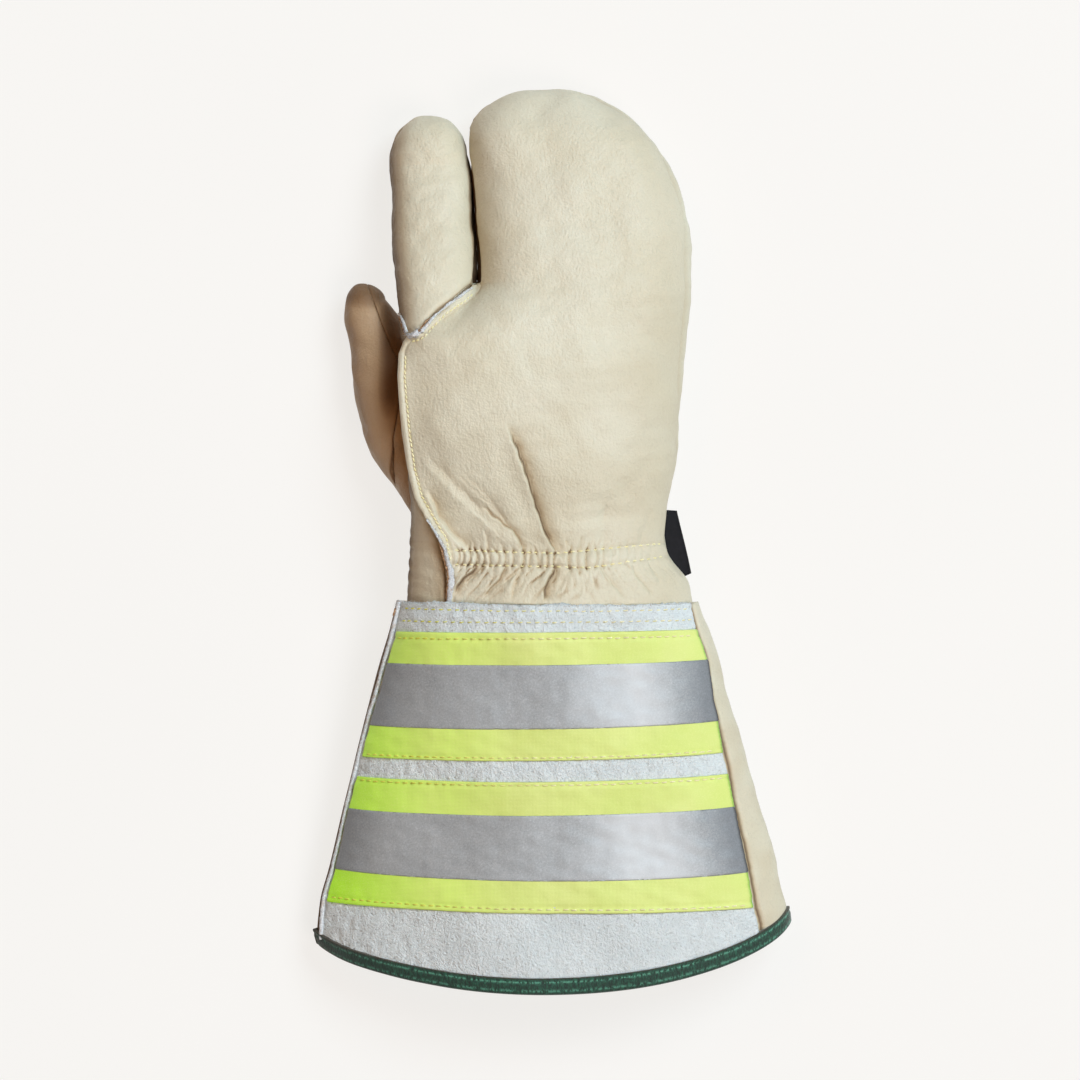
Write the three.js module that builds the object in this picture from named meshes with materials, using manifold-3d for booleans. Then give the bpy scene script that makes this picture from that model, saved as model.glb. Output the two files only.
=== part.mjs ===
// A right-hand one-finger work mitt with a flared gauntlet cuff, lying on its palm.
// The thumb and the index finger have stalls of their own, the other three fingers share one pocket,
// and the whole mitt is hollow from the cuff's mouth to the fingertips.
// Millimetres. +X is the little-finger side, +Y points to the fingertips, +Z comes up out of the back
// of the hand. The origin is at the bottom centre of the mitt's box, on the surface that it lies on.

import * as THREE from "three";
import { mergeVertices } from "three/addons/utils/BufferGeometryUtils.js";
import Module from "manifold-3d";

const wasm = await Module();
wasm.setup();

// Driving sizes
const GAP = 0.3; // clearance between neighbouring pieces
const HAND_WALL = 2.2; // grain leather with its pile backing
const CUFF_WALL = 2.0; // split leather
const UNDER_SHARPNESS = 0.45; // the underside's corners are squarer than a half ellipse
const ROUND = 0.5; // the exponent of a half ellipse
const TIP_STEPS = 5; // sections in a fingertip's dome
const POCKET_STEPS = 8; // sections of the three-finger pocket's tip
const TIP_END = 0.93; // the share of a quarter turn that a dome's last section reaches
const OPEN_END = 6; // how far a hollow's core runs out of an open end
const BELOW = -1; // under the mitt, for cutting bodies
const ABOVE = 120; // over the mitt, for cutting bodies
const ASIDE = 60; // past the ends of whatever is cut
const EDGE_MARGIN = 12; // past a section's left and right edges
const WELD = 2e-3; // vertices closer than this are one in the finished meshes
const TIDY = 0.09; // facets closer than this to their neighbour's plane are joined with it

// Points round a section, over its top and under it: for the outside and, coarser, for the hollow
const HAND_POINTS = { above: 24, below: 10 };
const HAND_CORE_POINTS = { above: 15, below: 7 };
const STALL_POINTS = { above: 10, below: 10 };
const STALL_CORE_POINTS = { above: 7, below: 7 };
const CUFF_POINTS = { above: 22, below: 12 };
const CUFF_CORE_POINTS = { above: 15, below: 9 };
const EVEN = 0.35; // how far a section's points are spread evenly, from none at 0

// Makes a list of rows with named columns.
function table(columns, values) {
  return values.map((row) => Object.fromEntries(columns.map((name, i) => [name, row[i]])));
}

const SECTION = ["y", "left", "right", "leftZ", "rightZ", "rise", "drop"];

// The hand with the three-finger pocket, from inside the cuff to where the pocket's tip begins.
// left and right are its edges, leftZ and rightZ their heights, rise and drop the bulge above and below.
const HAND_ROWS = table(SECTION, [
  [-34.8, -59.0, 57.6, 27, 28, 28.0, 25.0],
  [-25.6, -59.4, 57.4, 28, 28, 27.5, 25.0],
  [-17.5, -59.2, 55.8, 29, 27, 26.5, 24.5],
  [-10.0, -58.8, 49.9, 30, 27, 24.5, 24.0],
  [-3.5, -58.4, 46.6, 31, 26, 23.5, 24.0],
  [3.0, -58.2, 46.2, 32, 26, 24.5, 24.0],
  [10.0, -58.2, 46.6, 33, 25, 25.5, 24.0],
  [18.0, -58.6, 48.0, 34, 25, 27.0, 24.0],
  [26.0, -59.4, 49.9, 35, 25, 28.0, 24.0],
  [35.0, -60.5, 51.2, 37, 25, 28.5, 24.0],
  [46.0, -61.7, 52.1, 39, 25, 28.8, 24.0],
  [59.2, -62.9, 53.1, 40, 26, 28.5, 23.5],
  [72.8, -63.3, 54.6, 40, 26, 28.0, 23.0],
  [81.0, -60.5, 55.2, 39, 26, 27.5, 23.0],
  [88.0, -51.5, 55.7, 37, 26, 27.0, 23.0],
  [96.0, -41.5, 56.3, 34, 25, 26.5, 23.0],
  [105.2, -32.2, 56.8, 31, 24, 25.5, 23.0],
  [116.0, -31.4, 57.0, 29, 23, 25.0, 23.0],
]);

// The pocket's tip is two arcs in plan that meet at the tip.
const POCKET = {
  tip: { x: 1.1, y: 185.9, z: 14 },
  right: { x: 57.2, y: 119.0, shape: 0.55 },
  left: { x: -36.2, y: 165.8, shape: 0.5 },
  thickFrom: 160, // where the thickness begins to close
  edgeZ: { left: 16, right: 15 },
  rise: 18,
  drop: 18,
};

const FINGER_ROWS = table(SECTION, [
  [72.0, -60.0, -32.0, 39, 38, 16.5, 17.0],
  [82.0, -62.2, -31.4, 38, 37, 17.5, 17.5],
  [93.0, -63.0, -30.8, 36, 35, 18.0, 17.5],
  [104.0, -64.0, -30.4, 33, 32, 18.0, 17.0],
  [119.7, -65.3, -30.6, 28, 27, 18.0, 16.5],
  [135.1, -66.1, -31.5, 22, 22, 17.5, 16.0],
  [153.5, -67.4, -33.4, 16, 16, 17.0, 16.0],
]);
const FINGER_TIP = { x: -51.0, y: 175.3, z: 13 };

const THUMB_ROWS = table(SECTION, [
  [0.0, -55.5, -38.0, 31, 30, 6.0, 6.0],
  [8.4, -57.2, -36.0, 27, 26, 11.0, 10.0],
  [19.5, -63.4, -36.0, 23, 22, 15.0, 17.0],
  [28.9, -69.8, -37.1, 21, 20, 16.5, 20.0],
  [42.4, -77.7, -42.8, 19, 18, 17.0, 19.5],
  [57.6, -81.3, -47.7, 17, 16, 16.0, 18.0],
  [72.8, -82.8, -52.6, 16, 15, 15.0, 17.0],
  [83.8, -83.8, -57.6, 15, 14, 13.5, 15.5],
  [92.0, -84.6, -63.0, 14, 13, 12.0, 14.5],
  [99.0, -84.2, -69.3, 13, 12.5, 10.0, 12.5],
]);
const THUMB_TIP = { x: -79.3, y: 106.0, z: 12 };

// The cuff, from its top edge over the back of the wrist down to its hem. y and rightY are the row's left
// and right ends, bow how far its middle hangs below them, sharp the left edge's exponent, and floor the
// height of its underside, which the hem's binding lifts.
const CUFF_COLUMNS = [
  "y", "rightY", "bow", "left", "right", "leftZ", "rightZ", "rise", "drop", "sharp", "floor",
];
const CUFF_ROWS = table(CUFF_COLUMNS, [
  [-24.8, -25.2, 1.4, -63.9, 60.1, 28, 27, 30.5, 27.0, 0.5, 0.2],
  [-37.4, -36.3, 0.7, -67.0, 64.4, 27, 26, 30.0, 27.0, 0.5, 0.0],
  [-50.2, -48.6, 1.4, -70.9, 68.1, 25, 25, 30.5, 26.0, 0.54, 0.0],
  [-75.8, -73.2, 2.3, -77.7, 74.9, 22, 24, 31.0, 25.0, 0.6, 0.0],
  [-88.7, -86.1, 2.3, -80.9, 78.8, 21, 23, 31.0, 25.0, 0.64, 0.0],
  [-96.7, -94.5, 2.7, -82.8, 81.2, 20, 23, 31.0, 25.0, 0.66, 0.0],
  [-109.9, -107.6, 3.3, -86.1, 85.1, 19, 22, 31.0, 25.0, 0.7, 0.0],
  [-134.8, -133.9, 4.5, -92.0, 92.5, 17, 21, 31.5, 24.0, 0.76, 0.0],
  [-148.5, -149.0, 3.3, -95.7, 95.8, 16, 20, 32.0, 23.0, 0.8, 0.6],
  [-161.0, -151.8, 22.6, -97.0, 96.4, 15, 20, 32.0, 22.0, 0.8, 1.9],
  [-165.8, -156.6, 23.0, -96.0, 97.0, 15, 20, 32.0, 22.0, 0.8, 1.9],
]);
const BOW = { shape: 0.7, skew: 0.14 }; // how full the rows' curve is towards its ends, and to the right

// The tapes, as stretches of the cuff's rows: the row each edge lies on.
const TAPES = table(["name", "firstRow", "lastRow", "silverFirst", "silverLast"], [
  ["upper", 1, 4, 2, 3],
  ["lower", 5, 8, 6, 7],
]);
const TAPE_LEFT_INSET = 3.4; // from the cuff's left edge to the tapes' ends
const LIME = { from: 0.35, to: 0.95 }; // the fluorescent tape's two faces above the split leather
const SILVER = { from: 1.3, to: 1.8 }; // the reflective strip's two faces

const BINDING = 1.2; // thickness of the cloth tape that binds the hem, over the cuff's last two rows

// The seam between the back and the palm where it shows from above, from the cuff to the finger's base.
const BACK_SEAM = [
  [-43.1, -44], [-43.1, -25.6], [-43.1, -17.6], [-43.7, -9], [-45.4, -0.3], [-49.4, 6.6],
  [-55.2, 16.9], [-58.2, 28.4], [-60.2, 42.8], [-61.6, 57.2], [-62.2, 66.3], [-61.8, 76],
];
// The seam at the base of the index finger, from the outer side to the pocket.
const FINGER_SEAM = [
  [-59.6, 81], [-58.0, 83.4], [-54.3, 84.3], [-50.2, 89.2], [-46.1, 93.7], [-39.9, 98.2],
  [-35.8, 101.5],
];
// The slit between the finger and the pocket, from its base to the fingertips.
const CREVICE = [
  [-31.0, 107], [-30.8, 112], [-31.0, 119.7], [-31.9, 135.1], [-33.2, 150.4], [-34.5, 163.6], [-35.0, 172],
  [-35.0, 190],
];

// The edge of the split leather at the cuff's right, where the grain leather comes up round the side.
const SPLIT_EDGE = [
  [57.0, -20], [57.5, -26], [59.2, -36.7], [63, -49.4], [65.3, -65.8], [67.3, -74], [69.8, -87.1],
  [71.9, -95.3], [74.3, -108.4], [79.5, -134.7], [82, -150.7], [83.9, -157.2], [90, -190],
];

// The seam along the thumb, from its tip to its base.
const THUMB_SEAM = [
  [-76.3, 112], [-76.3, 105.9], [-72.7, 96.1], [-67.8, 84.1], [-63.3, 74.3], [-62.5, 57.2],
  [-65.2, 42], [-66.0, 28.5], [-60, 5],
];

// Creases and rolls of the leather over the back: a line, its width and its height, below 0 for a crease.
const FOLDS = table(["x0", "y0", "x1", "y1", "width", "height"], [
  [-21, 38, -5, 2, 6.0, -2.6],
  [-10, 40, 4, 4, 6.5, 2.0],
  [-38, 30, -24, 2, 6.0, -1.6],
  [-30, 32, -15, 4, 6.0, 1.4],
  [22, 20, 18, 2, 7.0, -1.0],
  [-22, -14, -32, -24, 5.0, -1.6],
  [6, -14, 2, -24, 5.0, -1.6],
]);

// The gathers that the wrist's elastic pulls up across its two rows of stitches. Their row lies at y in
// the middle and endLift higher at its ends, and a gather is narrower than its share of the row.
const GATHERS = {
  count: 17, left: -39.0, right: 42.5, y: -7.6, endLift: 2.8, length: 11.0, height: 1.4, narrowing: 0.95,
};

// The raw edges that stand up along a seam: their two faces above the leather, and their width. beside is
// how far the side seam's edge lies from the seam.
const SEAM_EDGE = { from: 0.35, to: 1.9, width: 1.5, beside: 0.4, low: 25 };
// The strip of pale leather in the cuff's left seam, from its left edge, and where it ends at the hem.
const CUFF_STRIP = { inset: 1.5, width: 1.6, end: [-95.2, -159.8] };
// The folded label in the right side seam at the wrist.
const LABEL = {
  corners: [[44.0, 12.0], [51.0, 12.3], [57.1, -13.9], [53.5, -15.3], [44.0, -12]],
  low: 21.5,
  high: 22.5,
};
const CUFF_SIDES = 4; // below this height the cuff is all grain leather

// A quarter of a unit circle: 1 at 0 and 0 at 1.
function quarter(t) {
  return Math.sqrt(Math.max(0, 1 - THREE.MathUtils.clamp(t, 0, 1) ** 2));
}

// Sections that close a stall over its tip.
function domeRows(last, tip, steps) {
  const rows = [];
  const end = (Math.PI / 2) * TIP_END;
  for (let i = 1; i <= steps; i++) {
    const angle = end * (i / steps);
    const keep = Math.cos(angle);
    rows.push({
      y: last.y + ((tip.y - last.y) * Math.sin(angle)) / Math.sin(end),
      left: tip.x + (last.left - tip.x) * keep,
      right: tip.x + (last.right - tip.x) * keep,
      leftZ: tip.z + (last.leftZ - tip.z) * keep,
      rightZ: tip.z + (last.rightZ - tip.z) * keep,
      rise: last.rise * keep,
      drop: last.drop * keep,
    });
  }
  return rows;
}

// Sections of the three-finger pocket from the end of the hand's table to its tip.
function pocketRows(last, steps) {
  const { tip, right, left, thickFrom, edgeZ, rise, drop } = POCKET;
  const rows = [];
  const end = Math.sin((Math.PI / 2) * TIP_END);
  const closing = (y, from, shape = ROUND) =>
    quarter((end * (y - from)) / (tip.y - from)) ** (shape / ROUND);
  for (let i = 1; i <= steps; i++) {
    const t = Math.sin((Math.PI / 2) * (i / steps));
    const y = last.y + (tip.y - last.y) * t;
    const keep = closing(y, thickFrom);
    const leftEdge = THREE.MathUtils.lerp(last.left, left.x, t);
    rows.push({
      y,
      left: tip.x + (leftEdge - tip.x) * closing(y, left.y, left.shape),
      right: tip.x + (right.x - tip.x) * closing(y, right.y, right.shape),
      leftZ: THREE.MathUtils.lerp(last.leftZ, edgeZ.left, t),
      rightZ: THREE.MathUtils.lerp(last.rightZ, edgeZ.right, t),
      rise: THREE.MathUtils.lerp(last.rise, rise, t) * keep,
      drop: THREE.MathUtils.lerp(last.drop, drop, t) * keep,
    });
  }
  return rows;
}

// How far the creases lift or sink the back at a place in plan.
function foldHeight(x, y) {
  let height = 0;
  for (const fold of FOLDS) {
    const dx = fold.x1 - fold.x0;
    const dy = fold.y1 - fold.y0;
    const length = Math.hypot(dx, dy);
    const along = ((x - fold.x0) * dx + (y - fold.y0) * dy) / length;
    const across = ((x - fold.x0) * dy - (y - fold.y0) * dx) / length;
    const past = Math.max(0, -along, along - length);
    height += fold.height * Math.exp(-((across / fold.width) ** 2) - (past / fold.width) ** 2);
  }
  return height;
}

// One closed section: over the top from the left edge to the right, and back underneath.
function loopOf(row, count, folded) {
  const points = [];
  for (let i = 0; i < count.above + count.below; i++) {
    const above = i <= count.above;
    const turn = above ? i / count.above : 1 - (i - count.above) / count.below;
    const across = THREE.MathUtils.lerp(-Math.cos(Math.PI * turn), 2 * turn - 1, EVEN);
    const share = (across + 1) / 2;
    const hump = Math.max(0, 1 - across ** 2);
    const x = THREE.MathUtils.lerp(row.left, row.right, share);
    const hang = (row.bow ?? 0) * hump ** BOW.shape * (1 + BOW.skew * across);
    const y = THREE.MathUtils.lerp(row.y, row.rightY ?? row.y, share) - hang;
    const edge = THREE.MathUtils.lerp(row.leftZ, row.rightZ, share);
    const sharp = THREE.MathUtils.lerp(row.sharp ?? ROUND, ROUND, share);
    const lift = folded && above ? foldHeight(x, y) * Math.min(1, 3 * hump) : 0;
    const z = above
      ? edge + row.rise * hump ** sharp + lift
      : Math.max(row.floor ?? 0, edge - row.drop * hump ** UNDER_SHARPNESS);
    points.push(new THREE.Vector3(x, y, z));
  }
  return points;
}

// The same loops moved out along the surface's normals, or in where the distance is negative.
function offsetLoops(loops, distance) {
  return loops.map((loop, k) => {
    const before = loops[Math.max(0, k - 1)];
    const after = loops[Math.min(loops.length - 1, k + 1)];
    return loop.map((point, i) => {
      const previous = loop.at(i - 1);
      const next = loop[(i + 1) % loop.length];
      const along = after[i].clone().sub(before[i]);
      const first = point.clone().sub(previous).cross(along).normalize();
      const second = next.clone().sub(point).cross(along).normalize();
      const spread = Math.max(0.5, 1 + first.dot(second));
      return point.clone().addScaledVector(first.add(second), distance / spread);
    });
  });
}

// Adds a copy of the first or last loop, moved along Y, so that a core runs out of an open end.
function extended(loops, atStart, atEnd) {
  const shifted = (loop, dy) => loop.map((p) => p.clone().add(new THREE.Vector3(0, dy, 0)));
  const start = atStart ? [shifted(loops[0], atStart)] : [];
  const end = atEnd ? [shifted(loops.at(-1), atEnd)] : [];
  return [...start, ...loops, ...end];
}

// The faces of a skin over loops that follow each other along +Y, without its ends.
function sides(loops) {
  const count = loops[0].length;
  const index = [];
  for (let k = 0; k < loops.length - 1; k++) {
    for (let i = 0; i < count; i++) {
      const next = (i + 1) % count;
      const [a, b, c, d] = [k * count + i, k * count + next, (k + 1) * count + next, (k + 1) * count + i];
      index.push(a, b, c, a, c, d);
    }
  }
  return index;
}

// A closed body over loops, with a fan of faces over each end.
function loft(loops) {
  const count = loops[0].length;
  const centres = [loops[0], loops.at(-1)].map((loop) =>
    loop.reduce((sum, p) => sum.add(p), new THREE.Vector3()).divideScalar(count),
  );
  const index = sides(loops);
  const start = loops.length * count;
  const lastLoop = start - count;
  for (let i = 0; i < count; i++) {
    const next = (i + 1) % count;
    index.push(start, next, i, start + 1, lastLoop + i, lastLoop + next);
  }
  return bodyOf([...loops.flat(), ...centres], index);
}

// A closed body over loops that are thin bands: each end is a row of faces between the band's two sides.
function bandLoft(loops) {
  const count = loops[0].length;
  const index = sides(loops);
  const lastLoop = (loops.length - 1) * count;
  for (let i = 0; i < count / 2 - 1; i++) {
    const [a, b, c, d] = [i, i + 1, count - 2 - i, count - 1 - i];
    index.push(a, c, b, a, d, c);
    index.push(...[a, b, c, a, c, d].map((corner) => lastLoop + corner));
  }
  return bodyOf(loops.flat(), index);
}

function bodyOf(points, index) {
  const geometry = new THREE.BufferGeometry().setFromPoints(points);
  geometry.setIndex(index);
  return solid(geometry);
}

// A manifold solid of a closed geometry, with vertices closer than weld merged.
function solid(geometry, weld = 1e-4) {
  const bare = geometry.index ? geometry.toNonIndexed() : geometry.clone();
  bare.deleteAttribute("normal");
  bare.deleteAttribute("uv");
  const merged = mergeVertices(bare, weld);
  const mesh = new wasm.Mesh({
    numProp: 3,
    vertProperties: merged.attributes.position.array,
    triVerts: new Uint32Array(merged.index.array),
  });
  mesh.merge();
  return new wasm.Manifold(mesh);
}

// An upright body over an outline in plan.
function prism(outline, low = BELOW, high = ABOVE) {
  const shape = new THREE.Shape(outline.map(([x, y]) => new THREE.Vector2(x, y)));
  const geometry = new THREE.ExtrudeGeometry(shape, { depth: high - low, bevelEnabled: false });
  geometry.translate(0, 0, low);
  return solid(geometry);
}

// Moves a path's points square to it: to the left of its direction where by is positive.
function moved(points, by) {
  const last = points.length - 1;
  return points.map(([x, y], i) => {
    const [px, py] = points[Math.max(0, i - 1)];
    const [qx, qy] = points[Math.min(last, i + 1)];
    const length = Math.hypot(qx - px, qy - py);
    return [x - (by * (qy - py)) / length, y + (by * (qx - px)) / length];
  });
}

// Grows a closed outline all round, or shrinks it where by is negative.
function grown(outline, by) {
  const turn = THREE.ShapeUtils.area(outline.map(([x, y]) => new THREE.Vector2(x, y))) > 0 ? -1 : 1;
  return moved([outline.at(-1), ...outline, outline[0]], by * turn).slice(1, -1);
}

// An outline of the strip between two distances to the left of a path.
function strip(path, from, to) {
  return [...moved(path, from), ...moved(path, to).reverse()];
}

// Everything above the line that joins a row's two edges, lowered by drop, for telling top from bottom.
function aboveEdges(rows, drop) {
  const loops = rows.map((row) => [
    new THREE.Vector3(row.left - EDGE_MARGIN, row.y, row.leftZ - drop),
    new THREE.Vector3(row.left - EDGE_MARGIN, row.y, ABOVE),
    new THREE.Vector3(row.right + EDGE_MARGIN, row.rightY ?? row.y, ABOVE),
    new THREE.Vector3(row.right + EDGE_MARGIN, row.rightY ?? row.y, row.rightZ - drop),
  ]);
  return loft(extended(loops, -ASIDE, ASIDE));
}

// The hand, the finger, the thumb and the cuff as rows and as loops
const handRows = [...HAND_ROWS, ...pocketRows(HAND_ROWS.at(-1), POCKET_STEPS)];
const fingerRows = [...FINGER_ROWS, ...domeRows(FINGER_ROWS.at(-1), FINGER_TIP, TIP_STEPS)];
const thumbRows = [...THUMB_ROWS, ...domeRows(THUMB_ROWS.at(-1), THUMB_TIP, TIP_STEPS)];
const cuffRows = [...CUFF_ROWS].reverse();

const handLoops = handRows.map((row) => loopOf(row, HAND_POINTS, true));
const fingerLoops = fingerRows.map((row) => loopOf(row, STALL_POINTS, false));
const thumbLoops = thumbRows.map((row) => loopOf(row, STALL_POINTS, false));
const cuffLoops = cuffRows.map((row) => loopOf(row, CUFF_POINTS, false));

// The hollow inside a row of sections, a wall's thickness in, with fewer facets than the outside.
function coreOf(rows, count, wall, atStart, atEnd, folded) {
  const chosen = rows.filter((row, i) => i % 2 === 0 || i < 2 || i > rows.length - 4);
  const loops = chosen.map((row) => loopOf(row, count, folded));
  return loft(extended(offsetLoops(loops, -wall), atStart, atEnd));
}

// The hand with its finger, grown or shrunk by a distance.
function handSolid(distance) {
  const hand = loft(offsetLoops(handLoops, distance));
  const finger = loft(offsetLoops(fingerLoops, distance));
  return hand.add(finger);
}

const slit = prism(strip(CREVICE, -GAP / 2, GAP / 2));
const handCore = coreOf(handRows, HAND_CORE_POINTS, HAND_WALL, -OPEN_END, 0, true);
const fingerCore = coreOf(fingerRows, STALL_CORE_POINTS, HAND_WALL, -OPEN_END, 0, false);
const thumbCore = coreOf(thumbRows, STALL_CORE_POINTS, HAND_WALL, -OPEN_END, 0, false);
const handShell = handSolid(0).subtract(handCore.add(fingerCore)).subtract(thumbCore).subtract(slit);

// Outlines in plan of what the back and the finger's own piece cover. On the right the seam runs just
// inside the edge, and round the tip it is the edge.
const SEAM_INSIDE = { most: -2, least: 4, middleY: 130, length: 8, endY: 180 };
const rightSeam = handRows
  .filter((row) => row.y < SEAM_INSIDE.endY)
  .map((row) => {
    const past = (row.y - SEAM_INSIDE.middleY) / SEAM_INSIDE.length;
    return [row.right + THREE.MathUtils.clamp(past, SEAM_INSIDE.most, SEAM_INSIDE.least), row.y];
  });
const backOutline = [
  ...BACK_SEAM,
  ...FINGER_SEAM,
  ...CREVICE,
  [30, 192],
  ...rightSeam.reverse(),
  [54, -44],
];
const fingerOutline = [
  ...[...FINGER_SEAM].reverse(),
  [-72, 81], [-75, 100], [-75, 190],
  ...[...CREVICE].reverse(),
];

// The back of the hand, with its gathers across the wrist
function handBack() {
  const { count, left, right, y, endLift, length, height, narrowing } = GATHERS;
  let back = handShell.intersect(prism(grown(backOutline, -GAP / 2))).intersect(aboveEdges(handRows, 0));
  for (let i = 0; i < count; i++) {
    const share = (i + 0.5) / count;
    const ridgeX = THREE.MathUtils.lerp(left, right, share);
    const ridgeY = y + endLift * (2 * share - 1) ** 2;
    const ridge = new THREE.SphereGeometry(1, 4, 2);
    ridge.scale((narrowing * (right - left)) / count / 2, length / 2, height);
    ridge.translate(ridgeX, ridgeY, heightOfBack(ridgeX, ridgeY));
    back = back.add(solid(ridge));
  }
  return back.subtract(handCore);
}

// The height of the back's outer face above a place in plan, from the hand's rows.
function heightOfBack(x, y) {
  const k = handRows.findIndex((row) => row.y > y);
  const [before, after] = [handRows[k - 1], handRows[k]];
  const t = (y - before.y) / (after.y - before.y);
  const value = (name) => THREE.MathUtils.lerp(before[name], after[name], t);
  const share = (x - value("left")) / (value("right") - value("left"));
  const hump = 1 - (2 * share - 1) ** 2;
  const edge = THREE.MathUtils.lerp(value("leftZ"), value("rightZ"), share);
  return edge + value("rise") * hump ** ROUND + foldHeight(x, y);
}

// The finger's own piece over its back, from the seam at its base to its tip
function fingerBack() {
  const over = prism(grown(fingerOutline, -GAP / 2));
  return handShell.intersect(over).intersect(aboveEdges(fingerRows, 0));
}

// The palm, which goes on as the front of the pocket and of the finger and wraps the thumb's side
function palm() {
  const back = prism(grown(backOutline, GAP / 2)).intersect(aboveEdges(handRows, GAP));
  const finger = prism(grown(fingerOutline, GAP / 2)).intersect(aboveEdges(fingerRows, GAP));
  return handShell.subtract(back).subtract(finger);
}

// The hand with the gap round it
const handClear = loft(extended(offsetLoops(handLoops, GAP), -OPEN_END, 0));
const thumbShell = loft(thumbLoops).subtract(thumbCore).subtract(handClear);

// The outer half of the thumb, left of its seam, and the inner half, right of it
function thumbHalf(outer) {
  const reach = outer ? -ASIDE : ASIDE;
  const seam = moved(THUMB_SEAM, outer ? -GAP / 2 : GAP / 2);
  const side = [...seam, ...[...seam].reverse().map(([x, y]) => [x + reach, y])];
  return thumbShell.intersect(prism(outer ? side : side.reverse()));
}

// The raw edge of the leather that stands up along a seam of the hand
function seamEdge(path, from) {
  const skin = handSolid(SEAM_EDGE.to).subtract(handSolid(SEAM_EDGE.from));
  return skin.intersect(prism(strip(path, from, from + SEAM_EDGE.width), SEAM_EDGE.low));
}

const cuffOuter = loft(cuffLoops);
const cuffCore = coreOf(cuffRows, CUFF_CORE_POINTS, CUFF_WALL, -OPEN_END, OPEN_END, false);
const cuffShell = cuffOuter.subtract(cuffCore).subtract(handClear);

// In plan, the cuff's left edge at each row, moved in by inset
function cuffLeft(inset) {
  return CUFF_ROWS.map((row) => [row.left + inset, row.y]);
}

// What the split leather covers in plan: from the tapes' left ends to the seam at the cuff's right
const splitLeft = cuffLeft(TAPE_LEFT_INSET);
const splitOutline = [
  [splitLeft[0][0], splitLeft[0][1] + ASIDE],
  ...splitLeft,
  [splitLeft.at(-1)[0], splitLeft.at(-1)[1] - ASIDE],
  ...[...SPLIT_EDGE].reverse(),
];

// The cuff's back of split leather, and its palm side of grain leather, which comes up round the right
function cuffBack() {
  const over = prism(grown(splitOutline, -GAP / 2), CUFF_SIDES);
  return cuffShell.intersect(over).intersect(aboveEdges(cuffRows, 0));
}

function cuffPalm() {
  const back = prism(grown(splitOutline, GAP / 2), CUFF_SIDES);
  return cuffShell.subtract(back.intersect(aboveEdges(cuffRows, GAP)));
}

// A thin patch that lies on the cuff between two of its rows and follows its facets
function cuffPatch(firstRow, lastRow, height) {
  const top = CUFF_POINTS.above;
  const outer = offsetLoops(cuffLoops, height.to);
  const inner = offsetLoops(cuffLoops, height.from);
  const first = cuffRows.length - 1 - lastRow;
  const last = cuffRows.length - 1 - firstRow;
  const loops = [];
  for (let k = first; k <= last; k++) {
    loops.push([...outer[k].slice(0, top + 1), ...inner[k].slice(0, top + 1).reverse()]);
  }
  return bandLoft(loops).intersect(prism(grown(splitOutline, -GAP), CUFF_SIDES));
}

// The strip of pale leather along the cuff's left seam
function cuffStrip() {
  const within = loft(offsetLoops(cuffLoops, SEAM_EDGE.from));
  const skin = loft(offsetLoops(cuffLoops, SEAM_EDGE.to)).subtract(within);
  const path = [...cuffLeft(CUFF_STRIP.inset).slice(0, -2), CUFF_STRIP.end];
  const band = prism(strip(path, 0, CUFF_STRIP.width), CUFF_SIDES);
  return skin.intersect(band).intersect(aboveEdges(cuffRows, 0));
}

// The binding: a folded cloth tape that closes over the hem's edge inside and out
function hemBinding() {
  const hem = cuffRows.slice(0, 2);
  const outer = hem.map((row) => loopOf(row, CUFF_POINTS, false));
  const outside = loft(extended(offsetLoops(outer, BINDING + GAP), -BINDING - GAP, 0));
  const inside = coreOf(hem, CUFF_CORE_POINTS, CUFF_WALL + BINDING + GAP, -OPEN_END, OPEN_END, false);
  const slotOut = loft(extended(offsetLoops(outer, GAP), -GAP, OPEN_END));
  const slotIn = coreOf(hem, CUFF_CORE_POINTS, CUFF_WALL + GAP, -OPEN_END, OPEN_END * 2, false);
  return outside.subtract(inside).subtract(slotOut.subtract(slotIn));
}

// A folded label sewn into the side seam at the wrist, left blank
function sideLabel() {
  return prism([...LABEL.corners].reverse(), LABEL.low, LABEL.high).subtract(handClear);
}

const MATERIALS = {
  grain: { color: 0xd6cdb4, roughness: 0.55 },
  palm: { color: 0xcdbf9f, roughness: 0.6 },
  rawEdge: { color: 0xd9d6cc, roughness: 0.95 },
  split: { color: 0xc9cfd0, roughness: 0.95 },
  lime: { color: 0xcde65a, roughness: 0.7 },
  silver: { color: 0x9a9ca0, roughness: 0.4, metalness: 0.4 },
  binding: { color: 0x14503a, roughness: 0.8 },
  label: { color: 0x17161b, roughness: 0.7 },
};

// The geometry of a solid's largest body, without the slivers that a cut can leave beside it
function largestOf(manifold) {
  const bodies = manifold.decompose().sort((a, b) => b.volume() - a.volume());
  const { vertProperties, triVerts } = bodies[0].getMesh();
  const geometry = new THREE.BufferGeometry();
  geometry.setAttribute("position", new THREE.BufferAttribute(vertProperties, 3));
  geometry.setIndex(new THREE.BufferAttribute(triVerts, 1));
  return geometry;
}

function meshOf(name, manifold, finish) {
  const welded = solid(largestOf(manifold.simplify(TIDY)), WELD);
  const geometry = largestOf(welded);
  geometry.computeVertexNormals();
  const mesh = new THREE.Mesh(geometry, new THREE.MeshStandardMaterial(MATERIALS[finish]));
  mesh.name = name;
  return mesh;
}

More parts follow.
